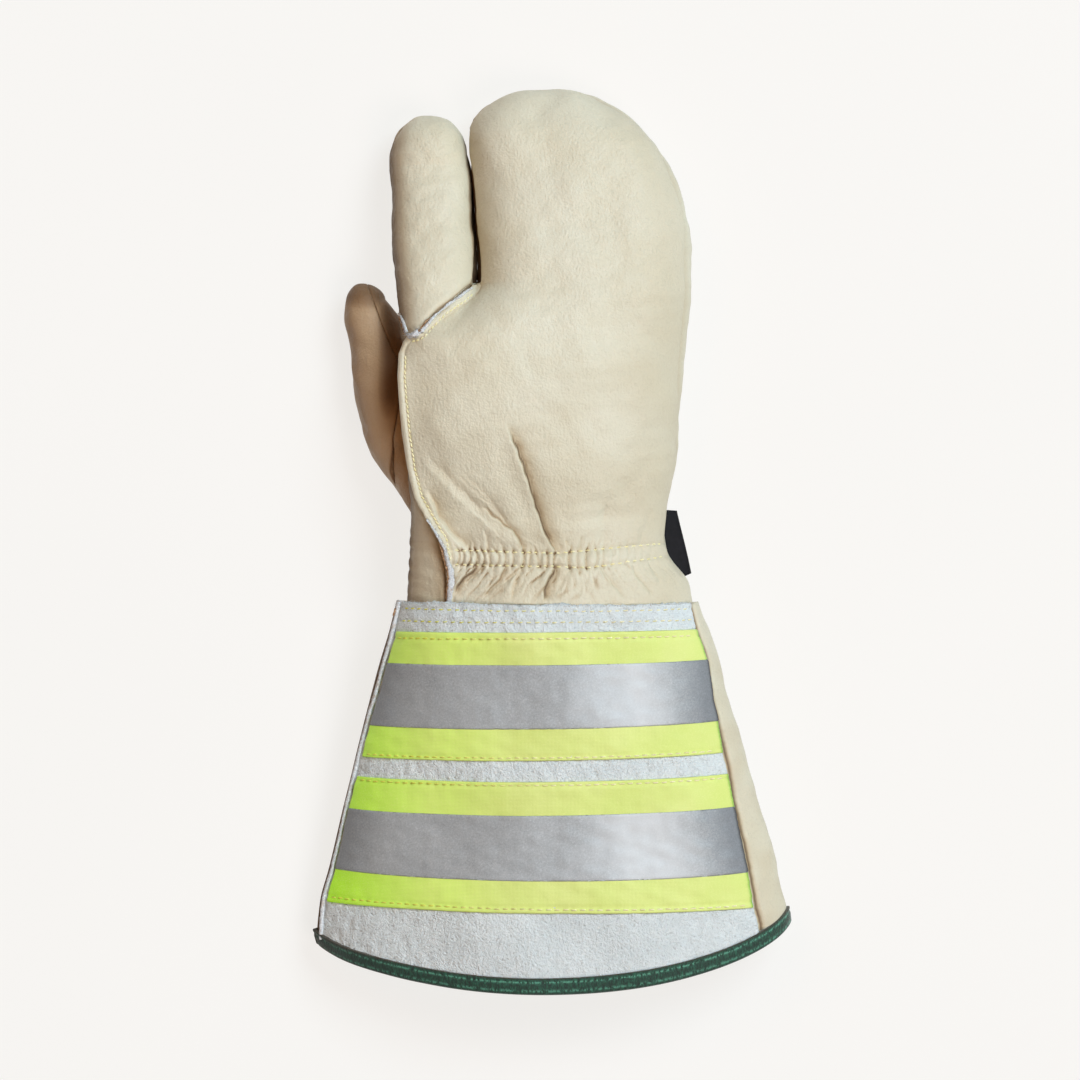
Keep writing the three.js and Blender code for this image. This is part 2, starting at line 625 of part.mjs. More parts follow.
const mitt = new THREE.Group();
mitt.name = "one_finger_mitt";
mitt.add(
  meshOf("hand_back", handBack(), "grain"),
  meshOf("finger_back", fingerBack(), "grain"),
  meshOf("palm", palm(), "palm"),
  meshOf("thumb_outer", thumbHalf(true), "palm"),
  meshOf("thumb_inner", thumbHalf(false), "palm"),
  meshOf("finger_seam_edge", seamEdge(FINGER_SEAM, -SEAM_EDGE.width / 2), "rawEdge"),
  meshOf("side_seam_edge", seamEdge(BACK_SEAM.slice(2, 7), SEAM_EDGE.beside), "rawEdge"),
  meshOf("cuff_back", cuffBack(), "split"),
  meshOf("cuff_palm", cuffPalm(), "grain"),
  meshOf("cuff_seam_strip", cuffStrip(), "rawEdge"),
  meshOf("hem_binding", hemBinding(), "binding"),
  meshOf("side_label", sideLabel(), "label"),
);
for (const tape of TAPES) {
  mitt.add(
    meshOf(`tape_${tape.name}_lime`, cuffPatch(tape.firstRow, tape.lastRow, LIME), "lime"),
    meshOf(`tape_${tape.name}_silver`, cuffPatch(tape.silverFirst, tape.silverLast, SILVER), "silver"),
  );
}

// The origin goes to the bottom centre of the whole mitt's box.
const box = new THREE.Box3().setFromObject(mitt);
const centre = box.getCenter(new THREE.Vector3());
for (const mesh of mitt.children) mesh.geometry.translate(-centre.x, -centre.y, -box.min.z);

export default mitt;
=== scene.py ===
import math

import bpy
import numpy as np
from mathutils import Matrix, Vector
from mathutils.bvhtree import BVHTree
from mathutils.kdtree import KDTree


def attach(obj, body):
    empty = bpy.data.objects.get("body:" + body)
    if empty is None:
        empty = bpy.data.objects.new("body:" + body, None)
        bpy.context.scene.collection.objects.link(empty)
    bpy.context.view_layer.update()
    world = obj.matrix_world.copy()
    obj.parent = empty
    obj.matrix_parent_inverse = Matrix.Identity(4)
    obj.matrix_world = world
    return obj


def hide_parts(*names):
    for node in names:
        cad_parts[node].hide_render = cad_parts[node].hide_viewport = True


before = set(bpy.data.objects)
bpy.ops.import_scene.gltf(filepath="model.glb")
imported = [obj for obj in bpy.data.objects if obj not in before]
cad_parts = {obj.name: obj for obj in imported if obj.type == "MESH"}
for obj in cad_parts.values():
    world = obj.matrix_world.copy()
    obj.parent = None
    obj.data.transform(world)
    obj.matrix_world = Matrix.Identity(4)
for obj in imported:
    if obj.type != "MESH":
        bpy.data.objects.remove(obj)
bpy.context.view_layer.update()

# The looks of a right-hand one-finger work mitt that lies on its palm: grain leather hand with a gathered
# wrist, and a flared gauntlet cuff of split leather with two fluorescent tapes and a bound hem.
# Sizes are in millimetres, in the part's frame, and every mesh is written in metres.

MM = 0.001  # metres in a millimetre
ROUND = 2 * math.pi
SHIFT = np.array([0.0, -0.1, 0.0])  # the part's own centring
LEATHER = 1.7  # thickness of the grain leather
SPLIT = 1.6  # thickness of the split leather
UNDER_CUFF = 2.2  # how far the hand's back sinks beneath the cuff
CLOSING_FROM = 150.0  # y from which a stall's rows draw together toward its tip
ABOVE = 120.0  # over the mitt, where rays that look for its surface start
FAR_BELOW = -50.0  # the height that stands for no surface
RNG = np.random.default_rng(11)  # for the stitches and the loose fibres

# Sections of the hand and its stalls. left and right are the edges, leftZ and rightZ their heights,
# rise and drop the bulge above and below.
SECTION = ("y", "left", "right", "leftZ", "rightZ", "rise", "drop")
HAND = (
    (-34.8, -59.0, 57.6, 27, 28, 28.0, 25.0), (-25.6, -59.4, 57.4, 28, 28, 27.5, 25.0),
    (-17.5, -59.2, 55.8, 29, 27, 26.5, 24.5), (-10.0, -58.8, 49.9, 30, 27, 24.5, 24.0),
    (-3.5, -58.4, 46.6, 31, 26, 23.5, 24.0), (3.0, -58.2, 46.2, 32, 26, 24.5, 24.0),
    (10.0, -58.2, 46.6, 33, 25, 25.5, 24.0), (18.0, -58.6, 48.0, 34, 25, 27.0, 24.0),
    (26.0, -59.4, 49.9, 35, 25, 28.0, 24.0), (35.0, -60.5, 51.2, 37, 25, 28.5, 24.0),
    (46.0, -61.7, 52.1, 39, 25, 28.8, 24.0), (59.2, -62.9, 53.1, 40, 26, 28.5, 23.5),
    (72.8, -63.3, 54.6, 40, 26, 28.0, 23.0), (81.0, -60.5, 55.2, 39, 26, 27.5, 23.0),
    (88.0, -51.5, 55.7, 37, 26, 27.0, 23.0), (96.0, -41.5, 56.3, 34, 25, 26.5, 23.0),
    (105.2, -32.2, 56.8, 31, 24, 25.5, 23.0), (116.0, -31.4, 57.0, 29, 23, 25.0, 23.0),
)
# The tip of a stall, as x, y and z. The pocket closes from these places on.
POCKET_TIP = (1.1, 185.9, 14)
POCKET_RIGHT = {"x": 57.2, "y": 119.0, "power": 1.1}
POCKET_LEFT = {"x": -36.2, "y": 165.8, "power": 1.0}
POCKET_THICK_FROM = 160.0
POCKET_END = {"leftZ": 16, "rightZ": 15, "rise": 18, "drop": 18}
TIP_CLOSED = 0.9985  # how nearly the sections close at a tip
FINGER = (
    (72.0, -60.0, -32.0, 39, 38, 16.5, 17.0), (82.0, -62.2, -31.4, 38, 37, 17.5, 17.5),
    (93.0, -63.0, -30.8, 36, 35, 18.0, 17.5), (104.0, -64.0, -30.4, 33, 32, 18.0, 17.0),
    (119.7, -65.3, -30.6, 28, 27, 18.0, 16.5), (135.1, -66.1, -31.5, 22, 22, 17.5, 16.0),
    (153.5, -67.4, -33.4, 16, 16, 17.0, 16.0),
)
FINGER_TIP = (-51.0, 175.3, 13)
THUMB = (
    (0.0, -55.5, -38.0, 31, 30, 6.0, 6.0), (8.4, -57.2, -36.0, 27, 26, 11.0, 10.0),
    (19.5, -63.4, -36.0, 23, 22, 15.0, 17.0), (28.9, -69.8, -37.1, 21, 20, 16.5, 20.0),
    (42.4, -77.7, -42.8, 19, 18, 17.0, 19.5), (57.6, -81.3, -47.7, 17, 16, 16.0, 18.0),
    (72.8, -82.8, -52.6, 16, 15, 15.0, 17.0), (83.8, -83.8, -57.6, 15, 14, 13.5, 15.5),
    (92.0, -84.6, -63.0, 14, 13, 12.0, 14.5), (99.0, -84.2, -69.3, 13, 12.5, 10.0, 12.5),
)
THUMB_TIP = (-79.3, 106.0, 12)
# The cuff's rows from its top edge to its hem. bow is how far a row's middle hangs below its ends, sharp
# the left edge's exponent, and floor the height of its underside.
CUFF_SECTION = ("y", "rightY", "bow", "left", "right", "leftZ", "rightZ", "rise", "drop", "sharp", "floor")
CUFF = (
    (-24.8, -25.2, 1.4, -63.9, 60.1, 28, 27, 29.2, 26.0, 0.5, 1.0),
    (-37.4, -36.3, 0.7, -67.0, 64.4, 27, 26, 30.0, 27.0, 0.5, 0.0),
    (-50.2, -48.6, 1.4, -70.9, 68.1, 25, 25, 30.5, 26.0, 0.54, 0.0),
    (-75.8, -73.2, 2.3, -77.7, 74.9, 22, 24, 31.0, 25.0, 0.6, 0.0),
    (-88.7, -86.1, 2.3, -80.9, 78.8, 21, 23, 31.0, 25.0, 0.64, 0.0),
    (-96.7, -94.5, 2.7, -82.8, 81.2, 20, 23, 31.0, 25.0, 0.66, 0.0),
    (-109.9, -107.6, 3.3, -86.1, 85.1, 19, 22, 31.0, 25.0, 0.7, 0.0),
    (-134.8, -133.9, 4.5, -92.0, 92.5, 17, 21, 31.5, 24.0, 0.76, 0.0),
    (-148.5, -149.0, 3.3, -95.7, 95.8, 16, 20, 32.0, 23.0, 0.8, 0.6),
    (-161.0, -151.8, 22.6, -97.0, 96.4, 15, 20, 32.0, 22.0, 0.8, 1.9),
    (-165.8, -156.6, 23.0, -96.0, 97.0, 15, 20, 32.0, 22.0, 0.8, 1.9),
)
BOW_POWER, BOW_SKEW = 0.7, 0.14
UNDER_POWER = 0.45  # the underside's corners are squarer than a half ellipse
TAPES = {"upper": (1, 4, 2, 3), "lower": (5, 8, 6, 7)}  # first and last row, then the silver's
TAPE_INSET = 3.4  # from the cuff's left edge to the tapes' ends
# The rows of stitches on the cuff, as y at its left edge, and the channels that they draw in: from the top
# edge on the split leather, and from one of the two long edges on a tape.
TOP_ROWS = (-27.7, -33.0)
TOP_CHANNELS = (2.9, 8.2)
TAPE_ROWS = {"upper": (-40.1, -87.2), "lower": (-98.4, -146.2)}
TAPE_CHANNELS = {"upper": ((-1, 2.8), (0, 1.6)), "lower": ((-1, 1.7), (0, 2.5))}

# Seams in plan, as points (x, y)
BACK_SEAM = (
    (-43.1, -44), (-43.1, -25.6), (-43.1, -17.6), (-43.7, -9), (-45.4, -0.3), (-49.4, 6.6), (-55.2, 16.9),
    (-58.2, 28.4), (-60.2, 42.8), (-61.6, 57.2), (-62.2, 66.3), (-61.8, 76),
)
FINGER_SEAM = (
    (-59.6, 81), (-58.0, 83.4), (-54.3, 84.3), (-50.2, 89.2), (-46.1, 93.7), (-39.9, 98.2), (-35.8, 101.5),
)
SEAM_END = (-32.0, 104.5)  # where the finger's seam meets the slit beside the pocket
LEFT_SEAM = BACK_SEAM + FINGER_SEAM + (SEAM_END,)
LIP_REACH = 4.6  # from the left seam, how far its lift reaches in
SLIT_BEGINS = (104, 112)  # y between which the stalls' surfaces come apart
CREVICE = (
    (-31.0, 105), (-30.8, 112), (-31.0, 119.7), (-31.9, 135.1), (-33.2, 150.4), (-34.5, 163.6), (-35.0, 172),
    (-35.0, 190),
)
CREVICE_GAP = 0.6  # from the slit's line to the finger and to the pocket
CREVICE_OPEN = 1.0  # how much wider it is at its lower end
CREVICE_TOUCH = 0.02  # the same gap deep down, where the palm's sides meet
PALM_UNDER = 1.8  # how far the palm's edge reaches under the back's
PALM_SPREAD = 1.8  # from the slit's line to the palm's walls while its mesh is made
PALM_ENDS = -34.2  # y of the palm's edge, beneath the cuff
PALM_CELL = 1.15  # the size of the cells that its mesh is made of
# The pocket's right seam, as its distance from the right edge at each y
POCKET_SEAM = (
    (0.3, -40), (0.3, 30), (0.8, 50), (1.9, 72), (2.0, 98), (2.5, 120), (1.9, 137), (1.4, 150), (0.2, 168),
)
SPLIT_EDGE = (
    (57.0, -20), (57.5, -26), (59.2, -36.7), (63, -49.4), (65.3, -65.8), (67.3, -74), (69.8, -87.1),
    (71.9, -95.3), (74.3, -108.4), (79.5, -134.7), (82, -150.7), (83.9, -157.2), (90, -190),
)
THUMB_SEAM = (
    (-76.3, 106), (-72.7, 96.1), (-67.8, 84.1), (-63.3, 74.3), (-62.5, 57.2), (-65.2, 42), (-66.0, 28.5),
    (-60, 5),
)


# Curves and sections

def smooth(keys, values, at):
    """A smooth curve without overshoot through rows of values, read at any keys."""
    keys, values = np.asarray(keys, float), np.asarray(values, float)
    step = np.diff(keys)[:, None]
    slope = np.diff(values, axis=0) / step
    product = slope[:-1] * slope[1:]
    total = slope[:-1] + slope[1:]
    inner = np.where(product > 0, 2 * product / np.where(total == 0, 1, total), 0)
    lean = np.vstack([slope[:1], inner, slope[-1:]])
    i = np.clip(np.searchsorted(keys, at, side="right") - 1, 0, len(keys) - 2)
    t = np.clip((at - keys[i]) / step[i, 0], 0, 1)[:, None]
    return (
        (2 * t**3 - 3 * t**2 + 1) * values[i] + (t**3 - 2 * t**2 + t) * step[i] * lean[i]
        + (3 * t**2 - 2 * t**3) * values[i + 1] + (t**3 - t**2) * step[i] * lean[i + 1]
    )


def quarter(t):
    """A quarter of a unit circle: 1 at 0 and 0 at 1."""
    return np.sqrt(np.maximum(0, 1 - np.clip(t, 0, 1) ** 2))


def ease(low, high, value):
    """A smooth step from 0 at low to 1 at high, which may also lie below low."""
    t = np.clip((value - low) / (high - low), 0, 1)
    return t * t * (3 - 2 * t)


def mix(a, b, t):
    return a + (b - a) * t


def bell(value, width):
    return np.exp(-((value / width) ** 2))


def dome(start, reach, count, first=0.0):
    """Places from start on that draw together toward a rounded end, a reach away."""
    return start + reach * np.sin(np.linspace(first, math.pi / 2, count))


def columns(names, values):
    """The last axis of values by name."""
    return {name: values[..., i] for i, name in enumerate(names)}


def hand_at(y):
    """The hand's and the pocket's section at each y."""
    y = np.asarray(y, float)
    last = HAND[-1]
    shape, flat = y.shape, y.ravel()
    rows = smooth([r[0] for r in HAND], [r[1:] for r in HAND], np.minimum(flat, last[0]))
    found = columns(SECTION[1:], rows)
    t = np.clip((flat - last[0]) / (POCKET_TIP[1] - last[0]), 0, 1)

    def closing(start, power):
        return quarter(TIP_CLOSED * (flat - start) / (POCKET_TIP[1] - start)) ** power

    left = mix(found["left"], POCKET_LEFT["x"], t)
    keep = closing(POCKET_THICK_FROM, 1.0)
    pocket = t > 0
    middle = POCKET_TIP[0]
    closed_left = middle + (left - middle) * closing(POCKET_LEFT["y"], POCKET_LEFT["power"])
    closed_right = middle + (POCKET_RIGHT["x"] - middle) * closing(POCKET_RIGHT["y"], POCKET_RIGHT["power"])
    found["left"] = np.where(pocket, closed_left, found["left"])
    found["right"] = np.where(pocket, closed_right, found["right"])
    for name in ("leftZ", "rightZ"):
        found[name] = mix(found[name], POCKET_END[name], t)
    for name in ("rise", "drop"):
        found[name] = mix(found[name], POCKET_END[name], t) * keep
    found["y"] = flat
    return {name: values.reshape(shape) for name, values in found.items()}


def stall_at(table, tip, y):
    """A finger's or thumb's section at each y, with a rounded tip."""
    y = np.asarray(y, float)
    last = table[-1][0]
    shape, flat = y.shape, y.ravel()
    rows = smooth([r[0] for r in table], [r[1:] for r in table], np.clip(flat, table[0][0], last))
    found = columns(SECTION[1:], rows)
    keep = quarter(TIP_CLOSED * (flat - last) / (tip[1] - last))
    for name in ("left", "right"):
        found[name] = tip[0] + (found[name] - tip[0]) * keep
    for name in ("leftZ", "rightZ"):
        found[name] = tip[2] + (found[name] - tip[2]) * keep
    for name in ("rise", "drop"):
        found[name] = found[name] * keep
    found["y"] = flat
    return {name: values.reshape(shape) for name, values in found.items()}


def finger_at(y):
    return stall_at(FINGER, FINGER_TIP, y)


def thumb_at(y):
    return stall_at(THUMB, THUMB_TIP, y)


def cuff_at(row):
    """The cuff's section at each row number, which may lie between two rows."""
    rows = smooth(range(len(CUFF)), CUFF, np.asarray(row, float).ravel())
    return {name: values.reshape(np.shape(row)) for name, values in columns(CUFF_SECTION, rows).items()}


def place(section, turn):
    """Points on the sections. turn runs from the left edge at 0 over the top to the right edge at pi,
    and back underneath."""
    across = -np.cos(turn)
    share = (across + 1) / 2
    hump = np.sin(turn) ** 2
    x = mix(section["left"], section["right"], share)
    y = section["y"] + (section.get("rightY", section["y"]) - section["y"]) * share
    y = y - section.get("bow", 0) * hump**BOW_POWER * (1 + BOW_SKEW * across)
    edge = mix(section["leftZ"], section["rightZ"], share)
    sharp = mix(section.get("sharp", 0.5), 0.5, share)
    above = edge + section["rise"] * hump**sharp
    below = np.maximum(section.get("floor", 0), edge - section["drop"] * hump**UNDER_POWER)
    z = np.where(np.sin(turn) >= 0, above, below)
    return np.stack(np.broadcast_arrays(x, y, z), -1)


def turn_of(section, x):
    """The turn over the top at which a section reaches x."""
    width = np.maximum(section["right"] - section["left"], 1e-6)
    across = 2 * (x - section["left"]) / width - 1
    return np.arccos(np.clip(-across, -1, 1))


def turns_between(first, last, count):
    """Rows of turns, each spread evenly between its own first and last."""
    return mix(first[:, None], last[:, None], np.linspace(0, 1, count)[None, :])


def height_over(section, x):
    """A section's upper surface at x, and far below it outside the section."""
    turn = turn_of(section, x)
    share = (1 - np.cos(turn)) / 2
    z = mix(section["leftZ"], section["rightZ"], share) + section["rise"] * np.abs(np.sin(turn))
    inside = (x > section["left"]) & (x < section["right"])
    return np.where(inside, z, FAR_BELOW)


def height_to_slit(section, x, y):
    """The same surface, which sinks out of the way where the slit begins."""
    return height_over(section, x) - 60 * ease(*SLIT_BEGINS, y)


def highest(a, b):
    """The higher of two surfaces, rounded where they cross."""
    reach = 5.0
    near = np.maximum(reach - np.abs(a - b), 0) / reach
    return np.maximum(a, b) + near * near * reach / 4


def unit(vectors):
    return vectors / np.maximum(np.linalg.norm(vectors, axis=-1, keepdims=True), 1e-9)


def normals_of(grid):
    """Unit normals of a grid of points, out of the mitt."""
    return unit(np.cross(np.gradient(grid, axis=1), np.gradient(grid, axis=0)))


def line_at(line, y):
    """x of a plan line at each y."""
    points = sorted((p[1], p[0]) for p in line)
    return np.interp(y, [p[0] for p in points], [p[1] for p in points])


def distance_to(points, curve):
    """How far each point is from a curve given as close points."""
    fine = resample(curve, 0.3)
    tree = KDTree(len(fine))
    for i, p in enumerate(fine):
        tree.insert(p, i)
    tree.balance()
    flat = points.reshape(-1, 3)
    found = np.array([tree.find(p)[2] for p in flat])
    return found.reshape(points.shape[:-1])


def lengths_of(curve):
    """How far along a curve each of its points lies."""
    return np.concatenate([[0], np.cumsum(np.linalg.norm(np.diff(curve, axis=0), axis=1))])


def resample(curve, step):
    """The same curve with points a step apart."""
    curve = np.asarray(curve, float)
    lengths = lengths_of(curve)
    count = max(2, int(round(lengths[-1] / step)) + 1)
    at = np.linspace(0, lengths[-1], count)
    return np.stack([np.interp(at, lengths, curve[:, k]) for k in range(curve.shape[1])], -1)


# Relief of the leather

def waves(plan, size, seed):
    """A smooth random surface with bumps of about that size, from about -2 to 2."""
    count = 18
    rng = np.random.default_rng(seed)
    total = np.zeros(plan.shape[:-1])
    for _ in range(count):
        angle, phase = rng.uniform(0, ROUND, 2)
        pace = ROUND / (size * rng.uniform(0.7, 1.6))
        total += np.cos(pace * (plan[..., 0] * np.cos(angle) + plan[..., 1] * np.sin(angle)) + phase)
    return total * np.sqrt(2 / count)


def beside(plan, line):
    """Distance from a plan line, above 0 on the right of a line that runs down, and the share along it."""
    line = np.asarray(line, float)
    starts = lengths_of(line)
    best = np.full(plan.shape[:-1], 1e9)
    signed, along = np.zeros_like(best), np.zeros_like(best)
    for k, length in enumerate(np.linalg.norm(np.diff(line, axis=0), axis=1)):
        dx, dy = (line[k + 1] - line[k]) / length
        ox, oy = plan[..., 0] - line[k, 0], plan[..., 1] - line[k, 1]
        t = np.clip(ox * dx + oy * dy, 0, length)
        distance = np.hypot(ox - t * dx, oy - t * dy)
        side = np.where(dx * oy - dy * ox >= 0, 1.0, -1.0)
        nearer = distance < best
        best = np.where(nearer, distance, best)
        signed = np.where(nearer, side * distance, signed)
        along = np.where(nearer, (starts[k] + t) / starts[-1], along)
    return signed, along


# Folds of the back: points from top to bottom, depth, how far the slope on the right climbs, how wide the
# drop on the left is, and how high the lip beside it stands.
FOLDS = (
    (((-19.5, 49.5), (-18.6, 47.5), (-16.3, 42.4), (-14.1, 36.9), (-11.3, 29.6), (-8.5, 20.6), (-6.3, 12.8),
      (-3.5, 4.9), (-0.7, -0.7), (1.3, -4.2)), 2.9, 3.0, 0.9, 0.9),
    (((-29.8, 13.9), (-24.0, 9.6), (-18.5, 5.6), (-15.8, 3.8), (-13.8, 1.0), (-12.1, -2.9), (-12.0, -4.6)),
     1.3, 1.5, 1.0, 0.5),
    (((-40.0, 27.5), (-33.0, 21.0), (-26.5, 14.5), (-21.5, 9.0)), 0.35, 1.0, 0.6, 0.12),
    (((-37.5, 28.5), (-30.5, 21.0), (-24.5, 13.5), (-20.0, 7.5)), 0.4, 1.0, 0.6, 0.12),
    (((-31.0, 23.5), (-26.0, 17.0), (-21.5, 10.5), (-18.0, 5.5)), 0.35, 1.0, 0.6, 0.12),
    (((-34.0, 13.0), (-29.0, 9.0), (-24.5, 5.5), (-21.0, 1.5)), 0.35, 1.0, 0.6, 0.12),
    (((-52.0, 38.0), (-48.5, 32.0), (-44.0, 27.6), (-38.5, 22.0), (-33.0, 16.0), (-27.0, 10.4), (-20.5, 5.4),
      (-16.0, 3.0)), 1.0, 3.4, 4.0, 0.35),
    (((-51.0, 22.0), (-48.8, 17.2), (-46.0, 10.5), (-43.2, 6.6), (-40.4, 2.7), (-37.6, -0.1), (-34.3, -2.9),
      (-33.6, -4.5)), 1.7, 3.2, 2.0, 0.5),
    (((-28.0, 4.0), (-26.5, 0.5), (-25.9, -4.2)), 0.5, 1.6, 1.0, 0.2),
    (((21.5, 16.0), (22.0, 8.0), (21.6, -2.5)), 0.8, 3.4, 4.0, 0.1),
    (((41.0, 14.0), (38.0, 5.0), (35.5, -2.0)), 0.6, 3.0, 3.0, 0.1),
    (((11.8, 1.8), (11.4, -4.0)), 0.5, 1.0, 0.8, 0.1),
    (((5.6, 0.6), (6.3, -4.2)), 0.6, 1.0, 0.8, 0.1),
    (((-30.9, -9.9), (-31.2, -11.5), (-32.6, -13.6), (-36.0, -15.8), (-38.8, -19.2), (-40.0, -24.2)),
     1.9, 2.6, 0.9, 0.7),
    (((-28.1, -9.7), (-30.4, -12.5), (-33.2, -15.3), (-36.6, -18.7)), 1.1, 1.3, 0.8, 0.3),
    (((-19.1, -10.2), (-19.7, -13.0), (-21.4, -15.8), (-25.3, -19.7), (-28.7, -24.6)), 1.3, 2.4, 0.9, 0.5),
    (((-13.0, -10.6), (-14.7, -12.5), (-18.0, -15.3), (-20.8, -18.0)), 1.0, 1.5, 0.8, 0.3),
    (((-12.6, -11.2), (-14.1, -14.5), (-15.8, -18.0), (-16.9, -25.5)), 0.7, 1.6, 0.9, 0.3),
    (((0.9, -10.9), (0.4, -13.6), (-1.2, -16.4), (-2.9, -20.5), (-3.3, -25.9)), 1.9, 2.8, 0.9, 0.8),
    (((6.6, -11.5), (4.0, -16.0), (1.5, -22.0)), 0.5, 1.5, 1.2, 0.2),
    (((20.0, -10.8), (22.5, -14.5), (26.5, -19.5), (30.5, -25.0)), 0.7, 1.8, 1.6, 0.3),
    (((32.5, -9.8), (34.6, -14.0), (37.4, -18.4), (42.0, -22.6)), 0.8, 1.8, 1.6, 0.3),
    (((39.6, -9.0), (42.0, -13.0), (45.0, -18.6)), 0.6, 1.6, 1.6, 0.2),
)
GATHER_UP = ((-41.0, -4.3), (1.0, -5.5), (43.6, -1.6))  # the upper row of stitches, as (x, y)
GATHER_DOWN = ((-40.1, -10.1), (1.1, -10.8), (14.2, -11.4), (27.3, -9.5), (45.6, -6.8))
PUCKERS = (  # x of the short folds between the two rows, and their depth
    (-38.6, 1.1), (-36.8, 0.9), (-34.0, 1.2), (-31.4, 1.3), (-28.6, 1.1), (-25.9, 0.9), (-23.0, 0.9),
    (-19.7, 1.1), (-16.3, 0.9), (-12.1, 1.3), (-9.3, 0.8), (-6.3, 1.0), (-4.6, 0.6), (-2.3, 1.0),
    (0.8, 1.4), (6.9, 1.2), (10.3, 0.6), (13.9, 1.1), (17.5, 0.7), (20.6, 0.6), (24.0, 0.3),
    (27.2, 0.4), (30.1, 0.5), (33.3, 0.4), (36.4, 0.4), (39.9, 0.3),
)


def gather_rows(x):
    """y of the two rows of stitches at each x."""
    up = np.interp(x, *zip(*GATHER_UP))
    down = np.interp(x, *zip(*GATHER_DOWN))
    return up, down


def gathers(plan):
    """Height of the puckers that the wrist's elastic draws up, with the fine wrinkles beside them, and how
    much painted shade each place gets in their creases and lines."""
    x, y = plan[..., 0], plan[..., 1]
    up, down = gather_rows(x)
    half = (up - down) / 2
    v = (y - (up + down) / 2) / half
    above, below = np.maximum(y - up, 0), np.maximum(down - y, 0)
    near = bell(above + below, 5.0)
    rng = np.random.default_rng(19)
    height = np.zeros_like(x)
    pinched = np.zeros_like(x)
    for middle, depth in PUCKERS:
        bend, lean = rng.uniform(-0.6, 0.6, 2)
        reach_up, reach_down = rng.uniform(0.8, 2.6, 2)
        at = middle + lean * v * 0.7 + (bend + 0.9 * ease(10, -30, middle)) * np.clip(1 - v * v, -1, 1)
        long = bell(above, reach_up) * bell(below, reach_down)
        off = x - at
        height -= depth * long * (0.8 * np.exp(-np.abs(off) / 0.42) + 0.35 * bell(off, 1.2))
        height += 0.22 * depth * long * bell(off + 1.3, 0.9)
        pinched = np.maximum(pinched, depth * long * np.exp(-np.abs(off) / 0.36))
    height += 0.75 * np.clip(1 - v * v, 0, 1) + 0.25 * near
    height -= 0.5 * bell((np.abs(v) - 1) * half, 0.6)
    fan = x - 0.6 * above * np.tanh((x - 5) / 18) + 0.85 * below * np.tanh((12 - x) / 16)
    lines = np.zeros_like(x)
    for k, (size, share) in enumerate(((2.7, 0.3), (4.3, 0.4), (7.0, 0.38))):
        bend = 0.8 * waves(plan, 15, 20 + k)
        lines += share * (np.abs(np.sin(np.pi * fan / size + bend + k)) ** 0.7 - 0.7)
    lines += 0.16 * (np.abs(np.sin(np.pi * fan / 1.7 + waves(plan, 11, 24))) ** 0.7 - 0.7)
    fade = 0.45 * np.exp(-((above / 5) ** 1.5)) * (above > 0) + 0.9 * bell(below, 13) * (below > 0)
    fade = fade * (1 - bell(above + below, 1.2)) * mix(1.0, 0.45, ease(0, 40, x))
    # The second value is painted shade in the wrinkles' lines and in the puckers.
    return height + lines * fade, np.maximum(ease(0.02, 0.42, -lines) * fade, 0.62 * pinched)


def fold_relief(plan):
    """The folds' height, and how much painted shade each place gets in a fold and on the slope beside it."""
    height = np.zeros(plan.shape[:-1])
    painted_shade = np.zeros(plan.shape[:-1])
    wander = 0.18 * waves(plan, 7, 41)
    for line, depth, reach, edge, lip in FOLDS:
        signed, along = beside(plan, line)
        signed = signed + wander
        along = 1 - along if line[0][1] < GATHER_DOWN[0][1] + 1.5 else along
        fade = ease(0, 0.25, along) * (1 - 0.5 * ease(0.88, 1, along))
        ended = bell(signed, 30)
        drop = ease(-edge, 0.12, signed)
        full = lip * bell(signed + edge, 1.6 * edge + 1.6)
        valley = -depth * np.exp(-np.maximum(signed, 0) / reach)
        height += mix(full, valley, drop) * fade * ended
        deep, wide = min(1.0, depth / 2.0), max(1.0, edge)
        # Painted shade: a dark line in the fold and a darker slope beside it.
        slit = bell(signed + 0.1, 0.5) * deep / wide
        slope = 0.6 * np.exp(-np.maximum(signed, 0) / (0.75 * reach)) * drop * deep / wide
        painted_shade = np.maximum(painted_shade, fade * np.maximum(slit, slope))
    return height, painted_shade


# Meshes

def face_grid(rows, count):
    """Faces between the points of a grid."""
    index = np.arange(rows * count).reshape(rows, count)
    corners = index[:-1, :-1], index[:-1, 1:], index[1:, 1:], index[1:, :-1]
    return np.stack(corners, -1).reshape(-1, 4)


def rim_of(rows, count):
    """Indices round a grid's border, without repeating the first."""
    index = np.arange(rows * count).reshape(rows, count)
    return np.concatenate([index[0, :-1], index[:-1, -1], index[-1, :0:-1], index[:0:-1, 0]])


def thick_sheet(outer, inner):
    """Vertices and faces of a closed sheet: a fine outer grid, an inner one at half its detail, and a rim."""
    rows, count = outer.shape[:2]
    fine = outer.reshape(-1, 3)
    coarse = inner[::2, ::2].reshape(-1, 3)
    half_rows, half_count = (rows + 1) // 2, (count + 1) // 2
    faces = face_grid(rows, count).tolist()
    faces += (face_grid(half_rows, half_count)[:, ::-1] + len(fine)).tolist()
    border = rim_of(rows, count)
    within = rim_of(half_rows, half_count) + len(fine)
    for k in range(len(within)):
        a, b, c = border[2 * k], border[2 * k + 1], border[(2 * k + 2) % len(border)]
        d, e = within[k], within[(k + 1) % len(within)]
        faces += [[int(b), int(a), int(d)], [int(c), int(b), int(d), int(e)]]
    return np.vstack([fine, coarse]), faces


def link(name, data):
    """An object of this data, in the scene."""
    made = bpy.data.objects.new(name, data)
    bpy.context.scene.collection.objects.link(made)
    return made


